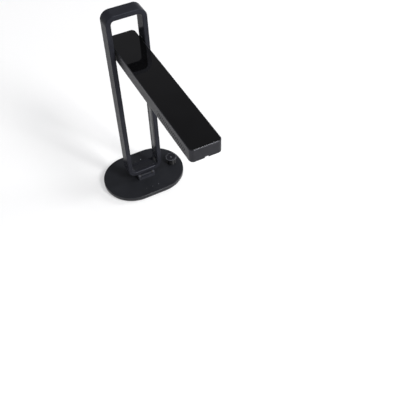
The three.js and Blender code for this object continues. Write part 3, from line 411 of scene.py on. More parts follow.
# The knuckle's coat: the frame's coat made darker, as painted shade that dims the barrel's highlight
KNUCKLE_COAT_PAINTED_SHADE = Finish(
    "knuckle_coat_painted_shade", "anodised_frame", (0.0145, 0.0155, 0.0205), Grain.BLASTED, specular=0.12,
    grain_depth=0.000006, gloss_spread=0.04,
)
SATIN = Finish(
    "blasted_housing", "satin_housing", (0.026, 0.0264, 0.0305), Grain.BLASTED, metallic=0.6,
    roughness=0.34, specular=0.3, edge_tint=0.68, grain_size=0.00035, gloss_spread=0.03,
)
# Near-black walls of the vent holes: painted shade inside the holes of the satin housing
VENT_PAINTED_SHADE = Finish(
    "painted_vent_shade", "satin_housing", (0.003, 0.0032, 0.0045), Grain.POWDER, roughness=0.7, specular=0.2,
    grain_size=0.0003,
)
GLOSS_PANEL = Finish(
    "polished_panel", "gloss_panel", (0.0022, 0.0022, 0.0024), Grain.POLISHED, roughness=0.035,
    grain_size=0.02, grain_depth=0.0000012, gloss_spread=0.012,
)
GLOSS_KNOB = Finish(
    "gloss_knob", "gloss_panel", (0.004, 0.004, 0.0045), Grain.SPUN, roughness=0.1, grain_size=0.0002,
    grain_depth=0.0000008, centre=KNOB.axis,
)
TURNED_GRIP = Finish(
    "turned_grip", "gloss_panel", (0.005, 0.005, 0.0058), Grain.TURNED, roughness=0.43, grain_size=0.00012,
    grain_depth=0.000006, gloss_spread=0.02, stretch=0.95,
)
SPUN_DISC = Finish(
    "spun_disc", "satin_housing", (0.019, 0.0195, 0.024), Grain.SPUN, metallic=0.5, roughness=0.34,
    grain_size=0.00025, grain_depth=0.000003, centre=KNOB.axis,
)
# A matte light grey ring at the knob disc's edge: a painted highlight that stays bright all round
RING_HIGHLIGHT_PAINT = Finish(
    "painted_ring_highlight", "gloss_panel", (0.077, 0.08, 0.091), Grain.SPUN, roughness=0.7, specular=0.1,
    grain_size=0.0002, grain_depth=0.000002, centre=KNOB.axis,
)
TRIM_PLASTIC = Finish(
    "channel_trim", "black_plastic", (0.016, 0.0168, 0.0203), Grain.EXTRUDED, roughness=0.3, specular=0.2,
    grain_size=0.0009, grain_depth=0.000002, gloss_spread=0.03,
)
BLACK_PLASTIC = Finish(
    "moulded_plastic", "black_plastic", (0.011, 0.0112, 0.0118), Grain.MOULDED, grain_size=0.0005,
    grain_depth=0.000012,
)
FOOT_RUBBER = Finish(
    "foot_rubber", "foot_rubber", (0.018, 0.018, 0.018), Grain.TREAD, roughness=0.85, specular=0.25,
    grain_size=0.0008, grain_depth=0.00003,
)
STEEL = Finish(
    "brushed_steel", "steel", (0.46, 0.465, 0.475), Grain.BRUSHED, metallic=1.0, roughness=0.33,
    grain_size=0.0002, grain_depth=0.000003, tone_spread=0.06,
)
# Washer brass made nearly black: painted shade over the washers at the hinge
BRASS_PAINTED_SHADE = Finish(
    "brass_painted_shade", "brass_washer", (0.022, 0.019, 0.015), Grain.BRUSHED, metallic=0.4, grain_size=0.0002,
    grain_depth=0.000003, tone_spread=0.08,
)
BEARING = Finish(
    "bearing_plastic", "bearing_plastic", (0.62, 0.59, 0.52), Grain.MOULDED, roughness=0.45,
    grain_depth=0.000006, tone_spread=0.04,
)
BOARD = Finish(
    "circuit_board", "circuit_board", (0.012, 0.055, 0.026), Grain.TRACED, roughness=0.4,
    second=(0.035, 0.12, 0.05), grain_size=0.0018, grain_depth=0.00002,
)
BARE_ALUMINIUM = Finish(
    "bare_aluminium", "bare_aluminium", (0.6, 0.61, 0.62), Grain.BRUSHED, metallic=1.0, roughness=0.38,
    grain_size=0.0003, tone_spread=0.05,
)
DIFFUSER = Finish(
    "opal_diffuser", "light_diffuser", (0.8, 0.8, 0.78), Grain.OPAL, roughness=0.55, grain_size=0.0009,
    grain_depth=0.00005, tone_spread=0.02,
)
LIGHT_GUIDE = Finish(
    "light_guide", "light_guide", (0.24, 0.246, 0.265), Grain.OPAL, roughness=0.35, grain_depth=0.000005,
    tone_spread=0.02,
)
DIM_GUIDE = Finish(
    "dim_guide", "light_guide", (0.15, 0.154, 0.166), Grain.OPAL, roughness=0.35, grain_depth=0.000005,
    tone_spread=0.02,
)
KNOB_PIP = Finish(
    "knob_pip", "light_guide", (0.24, 0.246, 0.265), Grain.OPAL, roughness=0.4, grain_size=0.0003,
    tone_spread=0.03,
)
FAINT_GUIDE = Finish(
    "faint_guide", "light_guide", (0.06, 0.062, 0.068), Grain.MOULDED, roughness=0.3, tone_spread=0.05,
)
LENS_GLASS = Finish(
    "lens_glass", "lens_glass", (0.009, 0.007, 0.018), Grain.POLISHED, roughness=0.03, coat=0.3,
    grain_size=0.01, grain_depth=0.0000002, gloss_spread=0.01,
)
CABLE_FILM = Finish(
    "cable_film", "cable_film", (0.016, 0.017, 0.02), Grain.STRIPED, roughness=0.45,
    second=(0.05, 0.04, 0.028), grain_size=0.0008, grain_depth=0.00002,
)
BEZEL_GLOSS = Finish(
    "bezel_gloss", "gloss_panel", (0.006, 0.006, 0.0065), Grain.SPUN, roughness=0.16, grain_size=0.0003,
    grain_depth=0.000001, centre=BEZEL.axis,
)
BY_SLOT = {
    finish.slot: finish
    for finish in (
        CAST_COAT, ANODISED, SATIN, GLOSS_PANEL, BLACK_PLASTIC, FOOT_RUBBER, STEEL, BRASS_PAINTED_SHADE, BEARING, BOARD,
        BARE_ALUMINIUM, DIFFUSER, LIGHT_GUIDE, LENS_GLASS, CABLE_FILM,
    )
}
GUIDE_FINISHES = {
    "touch_light_left": FAINT_GUIDE,
    "touch_light_middle": DIM_GUIDE,
    "touch_light_right": DIM_GUIDE,
    "status_light": LIGHT_GUIDE,
    "light_sensor": FAINT_GUIDE,
}


# Shapes


def block(low: Point, high: Point) -> Mesh:
    """Starts a mesh as a block between two corners.

    Args:
        low: The corner with the lowest coordinates.
        high: The corner with the highest coordinates.

    Returns:
        The mesh.
    """
    mesh = bmesh.new()
    bmesh.ops.create_cube(mesh, size=1.0)
    bmesh.ops.scale(mesh, vec=Vector(high) - Vector(low), verts=mesh.verts)
    bmesh.ops.translate(mesh, vec=(Vector(low) + Vector(high)) / 2.0, verts=mesh.verts)
    return mesh


def edges_along(mesh: Mesh, axis: Axis) -> list[Edge]:
    """Finds the edges of a mesh that run along an axis."""
    runs = ((edge, (edge.verts[1].co - edge.verts[0].co).normalized()) for edge in mesh.edges)
    return [edge for edge, run in runs if abs(run[axis.value]) > ALONG]


def edges_at(mesh: Mesh, axis: Axis, place: float) -> list[Edge]:
    """Finds the edges of a mesh whose two ends lie at one place along an axis."""
    return [e for e in mesh.edges if all(abs(v.co[axis.value] - place) < SAME_POINT for v in e.verts)]


def face_towards(mesh: Mesh, direction: Point) -> Face:
    """Finds the largest face that looks in a direction.

    Args:
        mesh: The mesh.
        direction: The direction.

    Returns:
        The face.
    """
    mesh.normal_update()
    facing = [f for f in mesh.faces if f.normal.dot(Vector(direction)) > ALONG]
    return max(facing, key=lambda face: face.calc_area())


def rounded(mesh: Mesh, edges: Iterable[Edge], radius: float, steps: int = EDGE_STEPS) -> Mesh:
    """Rounds edges of a mesh.

    Args:
        mesh: The mesh.
        edges: The edges.
        radius: The radius of the rounding.
        steps: How many faces make the rounding.

    Returns:
        The same mesh.
    """
    bmesh.ops.bevel(
        mesh, geom=list(edges), offset=radius, offset_type="OFFSET", affect="EDGES", segments=steps,
        profile=0.5, material=-1, clamp_overlap=True,
    )
    bmesh.ops.remove_doubles(mesh, verts=mesh.verts, dist=SAME_POINT)
    return mesh


def slab(low: Point, high: Point, radius: float, axis: Axis = Axis.Z, steps: int = CORNER_STEPS) -> Mesh:
    """Makes a block between two corners, with its four edges along one axis rounded."""
    mesh = block(low, high)
    return rounded(mesh, edges_along(mesh, axis), radius, steps)


def sunk(mesh: Mesh, face: Face, inset: float, depth: float) -> Face:
    """Draws a face in from its edges and then pushes it straight into the body.

    Args:
        mesh: The mesh.
        face: The face.
        inset: How far its edges are drawn in.
        depth: How far it is pushed in.

    Returns:
        The face at the floor of the recess.
    """
    if inset > 0.0:
        bmesh.ops.inset_region(mesh, faces=[face], thickness=inset, use_even_offset=True, use_boundary=True)
    face.normal_update()
    inward = face.normal * -depth
    floor = bmesh.ops.extrude_discrete_faces(mesh, faces=[face])["faces"][0]
    bmesh.ops.translate(mesh, vec=inward, verts=floor.verts)
    return floor


def add_rod(mesh: Mesh, radius: float, start: Point, end: Point, sides: int = ROD_STEPS) -> None:
    """Adds a rod between two points to a mesh that shapes others.

    Args:
        mesh: The mesh.
        radius: The rod's radius.
        start: The middle of its one end.
        end: The middle of its other end.
        sides: How many faces go round it.
    """
    run = Vector(end) - Vector(start)
    turn = run.to_track_quat("Z", "Y").to_matrix().to_4x4()
    middle = Matrix.Translation((Vector(start) + Vector(end)) / 2.0)
    bmesh.ops.create_cone(
        mesh, cap_ends=True, cap_tris=False, segments=sides, radius1=radius, radius2=radius,
        depth=run.length, matrix=middle @ turn,
    )


def rod(radius: float, start: Point, end: Point, sides: int = ROD_STEPS) -> Mesh:
    """Makes a mesh of one rod.

    Args:
        radius: The rod's radius.
        start: The middle of its one end.
        end: The middle of its other end.
        sides: How many faces go round it.

    Returns:
        The mesh.
    """
    mesh = bmesh.new()
    add_rod(mesh, radius, start, end, sides)
    return mesh


def turned(profile: Sequence[Pair], centre: Pair, steps: int = ROUND_STEPS) -> Mesh:
    """Turns a profile all the way round an upright axis.

    Args:
        profile: Pairs of radius and height.
        centre: Where the axis stands.
        steps: How many faces go round.

    Returns:
        The mesh.
    """
    mesh = bmesh.new()
    points = [mesh.verts.new((radius, 0.0, height)) for radius, height in profile]
    lines = [mesh.edges.new(pair) for pair in zip(points, points[1:])]
    bmesh.ops.spin(
        mesh, geom=points + lines, cent=(0.0, 0.0, 0.0), axis=(0.0, 0.0, 1.0), angle=2.0 * math.pi,
        steps=steps, use_merge=True, use_duplicate=False,
    )
    bmesh.ops.remove_doubles(mesh, verts=mesh.verts, dist=CLOSE_POINT)
    bmesh.ops.recalc_face_normals(mesh, faces=mesh.faces)
    bmesh.ops.translate(mesh, vec=(*centre, 0.0), verts=mesh.verts)
    return mesh


def softened(mesh: Mesh, width: float, steps: int = EDGE_STEPS) -> Mesh:
    """Rounds every edge of a mesh that is sharper than the shading's limit."""
    sharp = [e for e in mesh.edges if len(e.link_faces) == 2 and e.calc_face_angle(0.0) > SMOOTH_BELOW]
    return rounded(mesh, sharp, width, steps)


def laid_along_x(mesh: Mesh, side: int, centre: Point) -> Mesh:
    """Turns a mesh that was made upright so that its axis runs along X, and moves it.

    Args:
        mesh: The mesh.
        side: 1 if its top comes to look along +X, -1 along -X.
        centre: Where its origin comes to lie.

    Returns:
        The same mesh.
    """
    turn = Matrix.Rotation(side * math.pi / 2.0, 4, "Y")
    bmesh.ops.transform(mesh, matrix=Matrix.Translation(centre) @ turn, verts=mesh.verts)
    return mesh


def draft(mesh: Mesh, name: str = "draft") -> Object:
    """Makes an object of a mesh, still in millimetres.

    Args:
        mesh: The mesh, which is used up.
        name: The object's name.

    Returns:
        The object.
    """
    bmesh.ops.recalc_face_normals(mesh, faces=mesh.faces)
    data = bpy.data.meshes.new(name)
    mesh.to_mesh(data)
    mesh.free()
    made = bpy.data.objects.new(name, data)
    bpy.context.scene.collection.objects.link(made)
    return made


def carved(body: Object, tool: Mesh, carving: Carving = Carving.CUT) -> Object:
    """Cuts a solid away from a body, or joins it on.

    Args:
        body: The body.
        tool: The solid that shapes it, which is used up.
        carving: Whether the solid is cut away or joined on.

    Returns:
        The same body.
    """
    cutter = draft(tool, "tool")
    modifier = body.modifiers.new("carving", "BOOLEAN")
    modifier.operation = carving.value
    modifier.solver = "EXACT"
    modifier.object = cutter
    evaluated = body.evaluated_get(bpy.context.evaluated_depsgraph_get())
    shaped = bpy.data.meshes.new_from_object(evaluated)
    body.modifiers.clear()
    rough, spent = body.data, cutter.data
    body.data = shaped
    bpy.data.objects.remove(cutter)
    bpy.data.meshes.remove(spent)
    bpy.data.meshes.remove(rough)
    return body


def carved_soft(body: Object, width: float) -> Object:
    """Rounds the sharp edges of a carved body.

    Args:
        body: The body.
        width: The radius of the rounding.

    Returns:
        The same body.
    """
    mesh = bmesh.new()
    mesh.from_mesh(body.data)
    bmesh.ops.remove_doubles(mesh, verts=mesh.verts, dist=SAME_POINT)
    bmesh.ops.dissolve_limit(mesh, angle_limit=FLAT_BELOW, verts=mesh.verts, edges=mesh.edges)
    softened(mesh, width)
    mesh.to_mesh(body.data)
    mesh.free()
    return body


def shade(piece: Object, keep_sharp: bool) -> None:
    """Shades a piece smooth, with normals that follow its larger faces.

    Args:
        piece: The piece.
        keep_sharp: Whether its sharp edges stay sharp.
    """
    piece.data.polygons.foreach_set("use_smooth", [True] * len(piece.data.polygons))
    if keep_sharp:
        piece.data.set_sharp_from_angle(angle=SMOOTH_BELOW)
    weighted = piece.modifiers.new("even_shading", "WEIGHTED_NORMAL")
    weighted.keep_sharp = keep_sharp
    weighted.weight = EVEN_WEIGHT


@dataclass(frozen=True)
class Accent:
    """A further finish that a part of a piece's faces takes.

    The test is given a face's middle in millimetres and its normal.
    """

    finish: Finish
    covers: Callable[[Vector, Vector], bool]


def dressed(
    shape: Mesh | Object, node: str, finish: Finish, body: str, accents: Sequence[Accent] = (),
) -> None:
    """Finishes a piece: brings it to metres, gives it its material, and ties it to its body and node.

    Args:
        shape: The piece's mesh or object, in millimetres.
        node: The node that it stands for, which it takes its name from.
        finish: Its finish.
        body: The body that it rides on.
        accents: Further finishes on some of its faces.
    """
    name = f"{node}_fine"
    piece = draft(shape, name) if isinstance(shape, Mesh) else shape
    piece.name = name
    piece.data.name = name
    piece.data.materials.clear()
    piece.data.materials.append(finish.material())
    for place, accent in enumerate(accents, start=1):
        piece.data.materials.append(accent.finish.material())
        for face in piece.data.polygons:
            if accent.covers(face.center, face.normal):
                face.material_index = place
    piece.data.transform(Matrix.Scale(MM, 4))
    shade(piece, True)
    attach(piece, body)
    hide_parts(node)
    log.info("%s: %d faces, rides on %s", name, len(piece.data.polygons), body)


def domed_rod(span: Span, dome: Sequence[Pair], steps: int = SMALL_STEPS) -> Mesh:
    """Makes an upright rod in the place of a node, with a domed top.

    Args:
        span: The node's box.
        dome: Shares of the radius, each with its drop below the tip, from the side to the axis.
        steps: How many faces go round the rod.

    Returns:
        The mesh.
    """
    radius, foot, tip = span.size[0] / 2.0, span.low[2], span.high[2]
    profile = [(0.0, foot), (radius, foot)] + [(radius * share, tip - drop) for share, drop in dome]
    return turned(profile, span.plan, steps)


@dataclass(frozen=True)
class ScrewSize:
    """The height of a screw's head, and the radii of its thread, its bore and its counterbore."""

    head: float
    thread: float
    bore: float
    well: float


@dataclass(frozen=True)
class PanScrew:
    """An upright pan-head screw in the place of a node, whose head looks down and has a round recess.

    The head's outline is in shares of its radius and height.
    """

    node: str
    size: ScrewSize
    pitch: float = 0.5
    head_outline: tuple[Pair, ...] = ((0.0, 0.6), (0.5, 0.6), (0.5, 0.0), (0.8, 0.0), (1.0, 0.45), (1.0, 1.0))
    root_place: float = 0.25
    root_share: float = 0.86
    crest_rise: float = 0.5
    tip_share: float = 0.7

    @property
    def span(self) -> Span:
        """The node's box."""
        return Span.of(self.node)

    @property
    def seat(self) -> float:
        """Height of the head's upper side."""
        return self.span.low[2] + self.size.head

    def shape(self) -> Mesh:
        """Makes the screw, with a thread of plain rings.

        Returns:
            The mesh.
        """
        low, top, seat, thread = self.span.low[2], self.span.high[2], self.seat, self.size.thread
        radius = self.span.size[0] / 2.0
        profile = [(radius * share, low + self.size.head * rise) for share, rise in self.head_outline]
        profile.append((thread, seat))
        turns = round((top - seat) / self.pitch)
        step = (top - seat) / turns
        for turn in range(turns):
            root = seat + step * (turn + self.root_place)
            profile += [(thread * self.root_share, root), (thread, root + step * self.crest_rise)]
        profile += [(thread * self.tip_share, top), (0.0, top)]
        return turned(profile, self.span.plan, SCREW_STEPS)


def four_screws(names: str, size: ScrewSize, low: float, high: float, body: str) -> tuple[Mesh, Mesh]:
    """Builds four screws, and makes the solids that cut their holes into a plate.

    Args:
        names: What the four screws' names start with.
        size: The screws' size.
        low: Height below the plate, where the solids start.
        high: Height above it, where the bores end.
        body: The body that the screws ride on.

    Returns:
        The counterbores and the bores.
    """
    wells, bores = bmesh.new(), bmesh.new()
    for count in (1, 2, 3, 4):
        screw = PanScrew(f"{names}_{count}", size)
        x, y = screw.span.plan
        add_rod(wells, size.well, (x, y, low), (x, y, screw.seat), SMALL_STEPS)
        add_rod(bores, size.bore, (x, y, low), (x, y, high), SMALL_STEPS)
        dressed(screw.shape(), screw.node, STEEL, body)
    return wells, bores


@dataclass(frozen=True)
class SocketMouth:
    """The opening in the base's rear wall that a socket looks out of."""

    node: str
    below: float
    above: float
    corner: float
    steps: int
    beside: float = 0.3
    reach: float = 6.0

    def solid(self) -> Mesh:
        """Makes the solid that cuts the opening through the wall.

        Returns:
            The mesh.
        """
        socket, rear = Span.of(self.node), COVER.high[1]
        low = (socket.low[0] - self.beside, rear - self.reach, socket.low[2] - self.below)
        high = (socket.high[0] + self.beside, rear + self.reach, socket.high[2] + self.above)
        return slab(low, high, self.corner, Axis.Y, self.steps)


# Sub-assemblies


@dataclass
class WeightedBase:
    """The oval base: its coated cover, bottom plate, foot, sockets' mouths, screws and light guides."""

    skirt_draw: float = 1.6
    skirt_height: float = 3.0
    skirt_top: float = COVER.low[2] + skirt_height
    skirt_edge: float = 0.5
    wall: float = 2.2
    ceiling: float = COVER.high[2] - wall
    rim: float = 0.7
    encoder_hole: float = 4.3
    mouths: tuple[SocketMouth, SocketMouth] = (
        SocketMouth("power_socket", below=0.2, above=0.3, corner=0.8, steps=6),
        SocketMouth("data_socket", below=0.35, above=0.35, corner=1.9, steps=8),
    )
    guide_gap: float = 0.12
    guide_dome: tuple[Pair, ...] = ((1.0, 0.2), (0.92, 0.08), (0.6, 0.02), (0.0, 0.0))
    plate_edge: float = 0.25
    bore_top: float = PLATE.high[2] + 1.3
    screws: ScrewSize = ScrewSize(head=0.8, thread=1.3, bore=1.4, well=2.5)
    foot_edge: float = 0.3
    groove_inset: float = 3.5
    groove_side: float = 1.2
    groove_depth: float = 0.5
    roundness: float = 0.99995

    def oval(self, inset: float, low: float, high: float) -> Mesh:
        """Makes an oval slab at an inset from the base's outline.

        Args:
            inset: How far its outline lies inside the base's.
            low: Height of its underside.
            high: Height of its top.

        Returns:
            The mesh.
        """
        x, y = COVER.high[0] - inset, COVER.high[1] - inset
        mesh = slab((-x, -y, low), (x, y, high), y * self.roundness, Axis.Z, QUARTER_STEPS)
        bmesh.ops.remove_doubles(mesh, verts=mesh.verts, dist=SLIVER)
        return mesh

    def cover(self) -> None:
        """Builds the coated cover, hollow below, with its holes."""
        top, foot = COVER.high[2], COVER.low[2]
        mesh = self.oval(0.0, self.skirt_top, top)
        underside = face_towards(mesh, DOWN)
        bmesh.ops.inset_region(
            mesh, faces=[underside], thickness=self.skirt_draw, depth=self.skirt_height,
            use_even_offset=True,
        )
        sunk(mesh, underside, self.wall, self.ceiling - foot)
        rounded(mesh, edges_at(mesh, Axis.Z, top), self.rim, CHAMFER_STEPS)
        rounded(mesh, edges_at(mesh, Axis.Z, self.skirt_top), self.skirt_edge)
        cover = draft(mesh)
        holes = bmesh.new()
        low, high = self.ceiling - OVERRUN, top + OVERRUN
        for node in GUIDE_FINISHES:
            guide = Span.of(node)
            radius = guide.size[0] / 2.0 + self.guide_gap
            add_rod(holes, radius, (*guide.plan, low), (*guide.plan, high), SMALL_STEPS)
        add_rod(holes, self.encoder_hole, (*KNOB.plan, low), (*KNOB.plan, high))
        carved(cover, holes)
        for mouth in self.mouths:
            carved(cover, mouth.solid())
        dressed(cover, "base_cover", CAST_COAT, "base")

    def bottom(self) -> None:
        """Builds the bottom plate with its counterbores, and the four screws."""
        mesh = self.oval(PLATE.inside(COVER), PLATE.low[2], PLATE.high[2])
        plate = draft(softened(mesh, self.plate_edge))
        wells, bores = four_screws("base_screw", self.screws, FOOT.low[2], self.bore_top, "base")
        carved(carved(plate, bores), wells)
        dressed(plate, "base_plate", BLACK_PLASTIC, "base")

    def foot(self) -> None:
        """Builds the rubber foot with its groove."""
        foot = self.oval(FOOT.inside(COVER), FOOT.low[2], FOOT.high[2])
        underside = face_towards(foot, DOWN)
        bmesh.ops.inset_region(foot, faces=[underside], thickness=self.groove_inset, use_even_offset=True)
        inner = list(underside.edges)
        for depth in (-self.groove_depth, self.groove_depth):
            bmesh.ops.inset_region(
                foot, faces=[underside], thickness=self.groove_side, depth=depth, use_even_offset=True,
            )
        level = [e for e in edges_at(foot, Axis.Z, FOOT.low[2]) if e not in inner]
        rounded(foot, [e for e in level if e.calc_face_angle(0.0) > SMOOTH_BELOW], self.foot_edge)
        dressed(foot, "foot_pad", FOOT_RUBBER, "base")

    def guides(self) -> None:
        """Builds the light guides, each with a slightly domed end flush with the cover."""
        for node, finish in GUIDE_FINISHES.items():
            dressed(domed_rod(Span.of(node), self.guide_dome), node, finish, "base")

    def build(self) -> None:
        """Builds the base's pieces."""
        self.cover()
        self.bottom()
        self.foot()
        self.guides()


@dataclass
class RotaryKnob:
    """The knob on the base: a turned grip with a wider disc, an inlaid face and a light pip."""

    flange: float = 2.4
    side: float = 9.2
    gap: float = 0.1
    bore: float = 2.6
    well: float = 6.9
    well_depth: float = 5.5
    foot_edge: float = 0.35
    flange_edge: float = 0.5
    mouth_edge: float = 0.12
    ring: float = 0.4
    ring_inside: float = 9.7
    inlay_face: tuple[Pair, ...] = (
        (0.0, 0.14), (0.16, 0.0), (1.1, 0.0), (1.25, 0.12), (1.45, 0.12), (1.6, 0.0),
    )
    inlay_edge: float = 0.1
    pip_dome: tuple[Pair, ...] = ((1.0, 0.15), (0.85, 0.04), (0.0, 0.0))
    pip_steps: int = 40

    def grip(self) -> None:
        """Builds the knob's body with its bore, its wider disc and the mouth for the inlay."""
        foot, top = KNOB.low[2], KNOB.high[2]
        shoulder, roof = top - self.flange, foot + self.well_depth
        disc, mouth, floor = KNOB.size[0] / 2.0, INLAY.size[0] / 2.0 + self.gap, INLAY.low[2] - self.gap
        profile = [
            (0.0, shoulder), (self.bore, shoulder), (self.bore, roof), (self.well, roof), (self.well, foot),
            (self.side, foot), (self.side, shoulder), (disc, shoulder), (disc, top),
            (self.ring_inside, top), (mouth, top), (mouth, floor), (0.0, floor),
        ]
        body = turned(profile, KNOB.plan)
        rounded(body, self.circle(body, self.side, foot), self.foot_edge)
        rounded(body, self.circle(body, disc, shoulder), self.flange_edge, WIDE_STEPS)
        rounded(body, self.circle(body, disc, top), self.ring, CHAMFER_STEPS)
        rounded(body, self.circle(body, mouth, top), self.mouth_edge)
        grip = Accent(TURNED_GRIP, lambda middle, normal: abs(normal.z) < STANDS_UPRIGHT)
        # The ring at the disc's edge takes the painted highlight
        dressed(body, "knob", GLOSS_KNOB, "knob", [grip, Accent(RING_HIGHLIGHT_PAINT, self.on_ring)])

    def inlay(self) -> None:
        """Builds the inlay, with a rounded rim, one groove and the hole for the pip."""
        edge, hole = INLAY.size[0] / 2.0, PIP.size[0] / 2.0 + self.gap
        low, top = INLAY.low[2], INLAY.high[2]
        profile = [(hole, low), (edge, low)]
        profile += [(edge - inward, top - drop) for inward, drop in self.inlay_face]
        profile += [(hole + self.inlay_edge, top), (hole, top - self.inlay_edge), (hole, low)]
        dressed(turned(profile, KNOB.plan), "knob_inlay", SPUN_DISC, "knob")

    def build(self) -> None:
        """Builds the knob, its inlay and its pip."""
        self.grip()
        self.inlay()
        dressed(domed_rod(PIP, self.pip_dome, self.pip_steps), "knob_pip", KNOB_PIP, "knob")

    def reach(self, place: Vector) -> float:
        """Gives how far a place lies from the knob's axis."""
        return math.hypot(place.x - KNOB.plan[0], place.y - KNOB.plan[1])

    def circle(self, mesh: Mesh, radius: float, height: float) -> list[Edge]:
        """Finds the edges of a circle round the knob's axis, by its radius and height."""
        level = edges_at(mesh, Axis.Z, height)
        return [e for e in level if all(abs(self.reach(v.co) - radius) < SAME_PLACE for v in e.verts)]

    def on_ring(self, middle: Vector, normal: Vector) -> bool:
        """Tells whether a face of the knob belongs to the ring at the disc's edge, whose light grey colour is
        a painted highlight.
        """
        return normal.z > FACES_UP and self.reach(middle) > self.ring_inside


@dataclass
class FoldHinge:
    """The block on the base that the upright folds at: saddle, pin and knuckle."""

    axis: Pair = PIN.side
    radius: float = SADDLE.high[2] - PIN.middle[2]
    crown_share: float = 0.9999
    crown_steps: int = 16
    trough: float = 4.8
    inner: float = 13.1
    deck_height: float = 3.5
    deck: float = SADDLE.low[2] + deck_height
    fillet: float = 3.0
    fillet_steps: int = 8
    edge: float = 0.3
    pin: float = PIN.size[2] / 2.0
    pin_gap: float = 0.1
    pin_end: tuple[Pair, ...] = ((0.0, 0.5), (0.25, 0.25), (0.55, 0.02), (0.8, 0.06), (1.0, 0.4))
    barrel: float = WASHER.size[2] / 2.0
    barrel_gap: float = 0.3
    deck_gap: float = 0.3
    deck_cut: float = 0.5
    block_start: float = 0.6

    def saddle(self) -> None:
        """Builds the fixed saddle: front lip, trough, deck, and an ear with a rounded top at each end."""
        (y, z), half, floor, end = self.axis, SADDLE.high[0], SADDLE.low[2], SADDLE.high[1]
        ears = block(SADDLE.low, (half, y + self.radius, SADDLE.high[2]))
        crowns = [e for e in edges_along(ears, Axis.X) if all(v.co.z > z for v in e.verts)]
        rounded(ears, crowns, self.radius * self.crown_share, self.crown_steps)
        body = draft(ears)
        carved(body, block((-half, y, floor), (half, end, self.deck)), Carving.JOIN)
        self.fill_corner(body)
        above = (self.inner, end + OVERRUN, SADDLE.high[2] + OVERRUN)
        carved(body, block((-self.inner, SADDLE.low[1] - OVERRUN, z), above))
        carved(body, block((-self.inner, y, self.deck), (self.inner, end + OVERRUN, z + self.deck_cut)))
        carved(body, rod(self.trough, (-self.inner, y, z), (self.inner, y, z), FINE_STEPS))
        reach = half + OVERRUN
        carved(body, rod(self.pin + self.pin_gap, (-reach, y, z), (reach, y, z)))
        carved_soft(body, self.edge)
        # The saddle's lighter coat is painted light
        dressed(body, "hinge_saddle", HINGE_COAT_PAINTED_LIGHT, "base")

    def fill_corner(self, body: Object) -> None:
        """Fills the corner between the ears' rear and the deck with a round.

        Args:
            body: The saddle so far.
        """
        mesh = bmesh.new()
        mesh.from_mesh(body.data)
        bmesh.ops.dissolve_limit(mesh, angle_limit=FLAT_BELOW, verts=mesh.verts, edges=mesh.edges)
        behind = edges_at(mesh, Axis.Y, self.axis[0] + self.radius)
        corner = [e for e in behind if e in edges_at(mesh, Axis.Z, self.deck)]
        rounded(mesh, corner, self.fillet, self.fillet_steps)
        mesh.to_mesh(body.data)
        mesh.free()

    def knuckle(self) -> None:
        """Builds the knuckle that turns with the upright: a barrel in the trough and a block behind it."""
        (y, z), half = self.axis, KNUCKLE.high[0]
        body = draft(rod(self.barrel, (-half, y, z), (half, y, z), FINE_STEPS))
        low = (-half, y + self.block_start, self.deck + self.deck_gap)
        carved(body, block(low, KNUCKLE.high), Carving.JOIN)
        reach = SADDLE.high[0]
        carved(body, rod(self.pin + self.barrel_gap, (-reach, y, z), (reach, y, z)))
        carved_soft(body, self.edge)
        # The knuckle's darker coat is painted shade
        dressed(body, "hinge_knuckle", KNUCKLE_COAT_PAINTED_SHADE, "stem")

    def pin_piece(self) -> None:
        """Builds the pin with domed, centre-drilled ends."""
        half = [(self.pin * share, PIN.high[0] - depth) for share, depth in self.pin_end]
        profile = half + [(radius, -height) for radius, height in reversed(half)]
        pin = laid_along_x(turned(profile, (0.0, 0.0), ROD_STEPS), 1, (0.0, *self.axis))
        dressed(pin, "hinge_pin", STEEL, "base")

    def build(self) -> None:
        """Builds the hinge's pieces."""
        self.saddle()
        self.knuckle()
        self.pin_piece()


